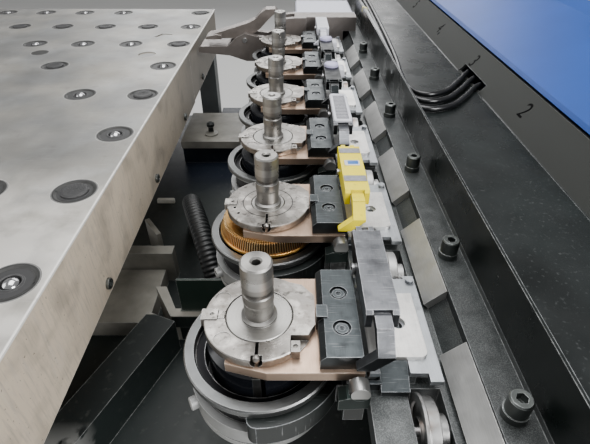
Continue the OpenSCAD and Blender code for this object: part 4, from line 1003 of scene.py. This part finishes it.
class MAGAZINE_OT_table(bpy.types.Operator):
    """Finish the table: satin sheet with smudges, and a streaked warm apron along the rail"""

    bl_idname = "magazine.table"
    bl_label = "Table"

    def execute(self, context):
        look = context.scene.table_look
        f = Finish("Satin table sheet", look.sheet, 0.8, 0.44)
        self.top(f)
        self.apron(f, look.apron)
        # Bright rubbed edges and a pale line along the fold: partly worn metal and partly a painted
        # highlight on the rounded edge.
        f.rubbed(0.0022, (0.88, 0.86, 0.82), 0.95)
        edge = f.ramp(f.x, TABLE_EDGE_X - 0.003, TABLE_EDGE_X - 0.0016)
        fold = f.product(edge, f.ramp(f.z, TABLE_Z - 0.0034, TABLE_Z - 0.002))
        worn = f.ramp(f.noise(0.01, detail=4), 0.25, 0.5, 0.35, 0.9)
        f.coat((0.9, 0.88, 0.84), fold, worn).changed(fold, 0.1, 0.45)
        f.dress("table_top")
        g = plastic("Grey frame paint", context.scene.bed_look.frame, 0.5, 0.1, 0.8, 1.15, 5)
        g.grained(0.002, 0.00004).rubbed(0.002, (0.35, 0.36, 0.36), 0.5).dress("table_frame")
        return {"FINISHED"}

    def top(self, f):
        """Grain, stains, and cloudy places of the flat sheet: darker away from the near end, lighter
        towards it.
        """
        grain = f.noise(0.0012, (1, 0.03, 1), 3)
        f.mottled(0.2, 0.74, 1.14, 6).tone(grain, 0.95, 1.04)
        f.stained(0.14, (0.36, 0.33, 0.27), 0.48, 0.7, 0.4)
        f.stained(0.09, (0.55, 0.57, 0.58), 0.5, 0.7, 0.4)
        f.stained(0.025, (0.2, 0.185, 0.165), 0.56, 0.74, 0.4)
        f.coat((0.22, 0.23, 0.24), f.clouds(0.12, 0.3, 0.6, 5), f.ramp(f.y, -0.36, -0.16), 0.6)
        near = f.product(f.clouds(0.05, 0.25, 0.55, 5), f.ramp(f.y, -0.28, -0.42))
        f.coat((0.86, 0.83, 0.78), near, 0.65).changed(near, 0.55)
        f.scratched((0.8, 0.8, 0.79), 0.22, 0.3, 0.05)
        f.sheen(f.noise(0.07, detail=6), 0.38, 0.56).relief(grain, 0.00003)

    def apron(self, f, colour):
        """The folded sides: a warm tone with streaks, dark blotches along the rail, and painted shade
        there that deepens towards the far end.
        """
        side = f.ramp(f.z, TABLE_Z - 0.0016, TABLE_Z - 0.0034)
        f.coat(colour, side).changed(side, 0.15, 0.5)
        f.coat((0.25, 0.235, 0.21), side, f.ramp(f.noise(0.0025, (1, 1, 0.08), 4), 0.5, 0.75), 0.4)
        f.coat((0.6, 0.56, 0.5), side, f.ramp(f.noise(0.012, (1, 1, 0.2), 5), 0.55, 0.75), 0.35)
        along_rail = f.product(side, f.ramp(f.x, TABLE_EDGE_X - 0.03, TABLE_EDGE_X - 0.01))
        f.coat((0.17, 0.155, 0.135), along_rail, f.clouds(0.06, 0.5, 0.68, 6), 0.45)
        # Painted shade: along the rail the apron darkens towards the far end.
        f.coat((0.085, 0.08, 0.072), along_rail, f.ramp(f.y, -0.3, 0.25), 0.8)
        f.coat((0.02, 0.018, 0.016), side, f.clouds(0.0035, 0.7, 0.76, 2), 0.7)


class MAGAZINE_OT_inserts(bpy.types.Operator):
    """Finish the inserts and the balls, and set the bristles of the brushes"""

    bl_idname = "magazine.inserts"
    bl_label = "Balls and brushes"

    def execute(self, context):
        look = context.scene.table_look
        f = plastic("Grey insert plastic", look.insert, 0.48, 0.01, 0.8, 1.2, 5, Specular_IOR_Level=0.25)
        across = f.wrapped(f.x, INSERT_FIRST[0], INSERT_STEP[0])
        side = f.wrapped(f.y, INSERT_FIRST[1], INSERT_STEP[1])
        r = f.length(across, side)
        f.coat((0.045, 0.045, 0.046), f.ramp(r, 0.0232, 0.0222), 0.85)
        f.coat((0.33, 0.33, 0.32), f.band(r, 0.0302, 0.0006, 0.0003), 0.5)
        f.coat((0.02, 0.02, 0.02), f.band(r, 0.0276, 0.0003, 0.0002), 0.8)
        dot = f.length(f.sum("SUBTRACT", f.sum("ABSOLUTE", across), 0.0252), side)
        f.coat((0.01, 0.01, 0.01), f.ramp(dot, 0.0019, 0.0015), 0.95)
        f.grained(0.001, 0.00004)
        f.rubbed(0.001, (0.3, 0.3, 0.3), 0.45).dress("table_inserts")
        ground_steel("Polished ball", look.ball, 0.14).dress("table_balls")
        h = plastic("Dark bristle", look.bristle, 0.5, 0.0018, 0.4, 1.9, 3)
        material = h.coat((0.12, 0.12, 0.12), h.ramp(h.z, 0.9018, 0.9036), 0.5).done()
        lay("brush_bristles", self.bristles(look.tufts), material, "bed", False)
        return {"FINISHED"}

    def brushes(self):
        """Middles of the brushes: the plan's columns and rows that hold an insert, without the balls."""
        column, row = np.meshgrid(np.arange(6), np.arange(1, 9), indexing="ij")
        bare = ((column == 1) & (row == 8)) | ((column == 5) & (row == 1))
        held = ((column == 0) | ((column + row) % 2 == 1) | (row >= 6)) & ~bare
        ball = ((row + (column > 0)) % 2 == 1) & ~((column == 1) & (row == 2))
        brush = held & ~ball
        x = INSERT_FIRST[0] - column[brush] * INSERT_STEP[0]
        y = INSERT_FIRST[1] + (row[brush] - 1) * INSERT_STEP[1]
        return np.stack([x, y, np.full(len(x), TABLE_Z)], -1)

    def bristles(self, tufts):
        """Tufts laid like a sunflower's seeds: radius = reach * root of i / n, angle = i golden turns.

        Each tuft is a skin of two rings, the upper one smaller and leaning outwards. Its height falls from
        the middle to the rim, by the share i / n, and varies a little from tuft to tuft.
        """
        sides, spread, lean, taper = 5, 0.837, 1.03, 0.55
        foot, middle, fall, uneven = 0.0004, 0.0033, 0.0016, 0.0003
        i = np.arange(tufts)
        share = (i + 0.5) / tufts
        angle = i * math.pi * (3 - math.sqrt(5))
        seed = BRUSH_RADIUS * np.sqrt(share)[:, None] * np.stack([np.cos(angle), np.sin(angle)], -1)
        height = middle - fall * share + uneven * np.sin(i * 2.4)
        ring = spread * BRUSH_RADIUS / math.sqrt(tufts) * np.concatenate(circle(sides), 1)
        flat = np.stack([seed[:, None] + ring, seed[:, None] * lean + taper * ring], 1)
        lift = np.stack([np.full(tufts, foot), height], 1)[:, :, None, None]
        tuft = np.concatenate([flat, np.broadcast_to(lift, (*flat.shape[:3], 1))], -1)
        points = self.brushes()[:, None, None, None] + tuft
        start = (np.arange(points.size // (6 * sides)) * 2 * sides)[:, None, None]
        j = np.arange(sides)
        faces = [net(2, sides), j[::-1][None], (j + sides)[None]]
        return [(points.reshape(-1, 3), [(start + face).reshape(-1, face.shape[1]) for face in faces])]


class MAGAZINE_OT_bed(bpy.types.Operator):
    """Finish the bed and its feet: near-black deck, light beams, and the arched hose's ribbed sleeve"""

    bl_idname = "magazine.bed"
    bl_label = "Bed"

    def execute(self, context):
        look = context.scene.bed_look
        self.deck_paint(look)
        ground_steel("Zinc foot steel", tint("a3a4a3"), 0.36).dress("levelling_feet")
        self.sleeve()
        self.light_bar()
        return {"FINISHED"}

    def deck_paint(self, look):
        """Near-black paint with a worn near ledge, painted shade on the far deck and under a ledge, and
        the light beams, plate and wall of the deck.
        """
        f = plastic("Dark bed paint", look.paint, 0.42, 0.15, 0.8, 1.2, 6, Specular_IOR_Level=0.35)
        # Painted shade: the deck beyond y = 0.12 m, below 0.64 m and short of x = 0.37 m, is darkened.
        deep_shade = f.product(f.ramp(f.y, 0.12, 0.24), f.ramp(f.x, 0.372, 0.366), f.ramp(f.z, 0.645, 0.64))
        f.coat((0.006, 0.01, 0.022), deep_shade, 0.8)
        beam = f.product(f.ramp(f.y, -0.345, -0.35), f.ramp(f.z, 0.6398, 0.6402), f.ramp(f.x, 0.05, 0.04))
        f.coat((0.006, 0.007, 0.007), beam, 0.9)
        worn = f.product(f.clouds(0.05, 0.49, 0.54, 8), f.ramp(f.y, -0.54, -0.6), f.ramp(f.x, 0.05, 0.04))
        f.coat((0.42, 0.42, 0.4), worn, f.ramp(f.z, 0.56, 0.566), 0.8)
        light = [
            f.inside((-0.21, -0.332, 0.566), (-0.043, -0.158, 0.65)),
            f.inside((-0.056, -0.345, 0.566), (-0.003, -0.276, 0.65)),
            # This box starts at 0.612 m, so the block's face below its ledge keeps the dark paint: painted
            # shade under the ledge.
            f.inside((-0.13, 0.3, 0.612), (0.372, 0.516, 0.65)),
            f.inside((-0.012, -0.352, 0.6385), (0.372, -0.331, 0.644)),
            f.inside((-0.131, -0.126, 0.566), (-0.079, -0.062, 0.65)),
        ]
        mask = light[0]
        for more in light[1:]:
            mask = f.sum("MAXIMUM", mask, more)
        f.coat(look.support, mask, f.ramp(f.noise(0.05, detail=5), 0.3, 0.7, 0.55, 1.0))
        green = f.inside((0.004, -0.3385, 0.64), (0.152, -0.33, 0.716))
        f.coat((0.014, 0.03, 0.022), green, 0.9)
        f.stained(0.012, (0.12, 0.12, 0.11), 0.6, 0.75, 0.2)
        f.sheen(f.noise(0.02, detail=4), 0.4, 0.5).grained(0.002, 0.00005)
        f.rubbed(0.0022, (0.34, 0.35, 0.34), 0.75).dress("bed_frame")

    def sleeve(self):
        """The ribbed sleeve on the arch: radius(s) = middle + swing * a clipped cosine of s / pitch."""
        s = plastic("Ribbed sleeve", tint("17191a"), 0.45, 0.01, 0.7, 1.4)
        rubber = s.rubbed(0.001, (0.14, 0.15, 0.15), 0.7).done()
        steps, end_radius, middle, swing = 430, 0.0181, 0.0188, 0.0007
        a = np.linspace(math.radians(8), math.radians(172), steps)
        across, up, axis = axes(ARCH_ACROSS, ARCH_UP)
        path = ARCH_CENTRE + ARCH_RADIUS * (np.cos(a)[:, None] * across + np.sin(a)[:, None] * up)
        wave = np.clip(1.6 * np.cos(a * ARCH_RADIUS / RIB_PITCH * 2 * math.pi), -1, 1)
        i = np.arange(steps)
        radius = np.where((i < 2) | (i > steps - 3), end_radius, middle + swing * wave)
        lay("arch_sleeve", [tube(path, radius, 28, axis)], rubber, "bed")

    def light_bar(self):
        """The pale bar on the deck, a rounded block with a soft upper edge."""
        pale = plastic("Light bar plastic", tint("c9c7be"), 0.4, 0.01, 0.85, 1.05, 3).done()
        edge = [(0, -0.0002), (0, 0.009), (0.0015, 0.011)]
        bar = pressed(rounded(0.046, 0.011, 0.003), edge, (-0.133, 0.108, DECK_Z))
        lay("deck_bar", [bar], pale, "bed")


class MAGAZINE_OT_stage(bpy.types.Operator):
    """Set the floor, the soft lights, the backdrop's tone and the camera"""

    bl_idname = "magazine.stage"
    bl_label = "Stage"

    def execute(self, context):
        look = context.scene.stage_look
        self.floor(look.floor)
        self.room(context.scene)
        self.lights(look)
        self.camera(context.scene)
        return {"FINISHED"}

    def floor(self, colour):
        """A pale floor."""
        half = 6
        mesh = bpy.data.meshes.new("floor")
        corners = [(-half, -half, 0), (half, -half, 0), (half, half, 0), (-half, half, 0)]
        mesh.from_pydata(corners, [], [(0, 1, 2, 3)])
        mesh.materials.append(plastic("Pale floor", colour, 0.6, 0.8, 0.97, 1.02, 3).done())
        ground = add("floor", mesh)

    def room(self, scene):
        """An even pale grey all round."""
        world = bpy.data.worlds.new("Soft room")
        world.use_nodes = True
        inputs = world.node_tree.nodes["Background"].inputs
        inputs["Color"].default_value = (0.86, 0.86, 0.86, 1)
        inputs["Strength"].default_value = 0.38
        scene.world = world

    def lights(self, look):
        """Four soft lights: name, power, width and height, place, and the place that it looks at."""
        for name, power, size, place, target in (
            ("overhead", look.key_power, (1.8, 2.6), (0.1, 0.1, 3.3), (0.1, -0.1, 0.9)),
            ("far_end", look.far_power, (3.2, 1.6), (-0.2, 4.2, 2.6), (0.1, 0.2, 0.9)),
            ("left_side", look.left_power, (2.0, 2.0), (-3.0, -0.8, 2.2), (0.1, -0.3, 0.9)),
            ("right_side", look.right_power, (1.1, 1.1), (1.5, -1.9, 2.0), (-0.06, -0.6, 0.85)),
        ):
            light = bpy.data.lights.new(name, "AREA")
            light.shape, light.energy = "RECTANGLE", power
            light.size, light.size_y = size
            lamp = add(name, light)
            lamp.location = place
            aim = np.subtract(target, place)
            lean = math.acos(-aim[2] / np.linalg.norm(aim))
            lamp.rotation_euler = (lean, 0, math.atan2(aim[1], aim[0]) - math.pi / 2)

    def camera(self, scene):
        """The camera where the photo was taken, with its lens in millimetres and its turn in degrees."""
        camera = bpy.data.cameras.new("camera")
        camera.lens, camera.sensor_width = CAMERA_LENS, 36
        camera.clip_start, camera.clip_end = 0.02, 60
        scene.camera = add("camera", camera)
        scene.camera.location = CAMERA_PLACE
        scene.camera.rotation_euler = [math.radians(angle) for angle in CAMERA_TURN]


STEPS = [
    MAGAZINE_OT_stage, MAGAZINE_OT_hoses, MAGAZINE_OT_punches, MAGAZINE_OT_rings, MAGAZINE_OT_jaw_plates,
    MAGAZINE_OT_cassettes, MAGAZINE_OT_levers, MAGAZINE_OT_dies, MAGAZINE_OT_rollers,
    MAGAZINE_OT_brackets, MAGAZINE_OT_rail, MAGAZINE_OT_trough, MAGAZINE_OT_clamp, MAGAZINE_OT_table,
    MAGAZINE_OT_inserts, MAGAZINE_OT_bed,
]
LOOKS = {
    "station_look": StationLook, "lever_look": LeverLook, "rail_look": RailLook, "trough_look": TroughLook,
    "table_look": TableLook, "bed_look": BedLook, "stage_look": StageLook,
}


class MAGAZINE_PT_panel(bpy.types.Panel):
    """Lists the sizes, the colours and the steps of the magazine"""

    bl_idname = "MAGAZINE_PT_panel"
    bl_label = "Tool Magazine"
    bl_space_type = "VIEW_3D"
    bl_region_type = "UI"
    bl_category = "Magazine"

    def draw(self, context):
        for key, look in LOOKS.items():
            box = self.layout.box()
            for field in look.__annotations__:
                box.prop(getattr(context.scene, key), field)
        for step in STEPS:
            self.layout.operator(step.bl_idname)


def register():
    for look in LOOKS.values():
        bpy.utils.register_class(look)
    for key, look in LOOKS.items():
        setattr(bpy.types.Scene, key, PointerProperty(type=look))
    for step in [*STEPS, MAGAZINE_PT_panel]:
        bpy.utils.register_class(step)


def unregister():
    for step in [MAGAZINE_PT_panel, *reversed(STEPS)]:
        bpy.utils.unregister_class(step)
    for key, look in reversed(LOOKS.items()):
        delattr(bpy.types.Scene, key)
        bpy.utils.unregister_class(look)


def main():
    register()
    for step in STEPS:
        getattr(bpy.ops.magazine, step.bl_idname.split(".")[1])()


if __name__ == "__main__":
    main()
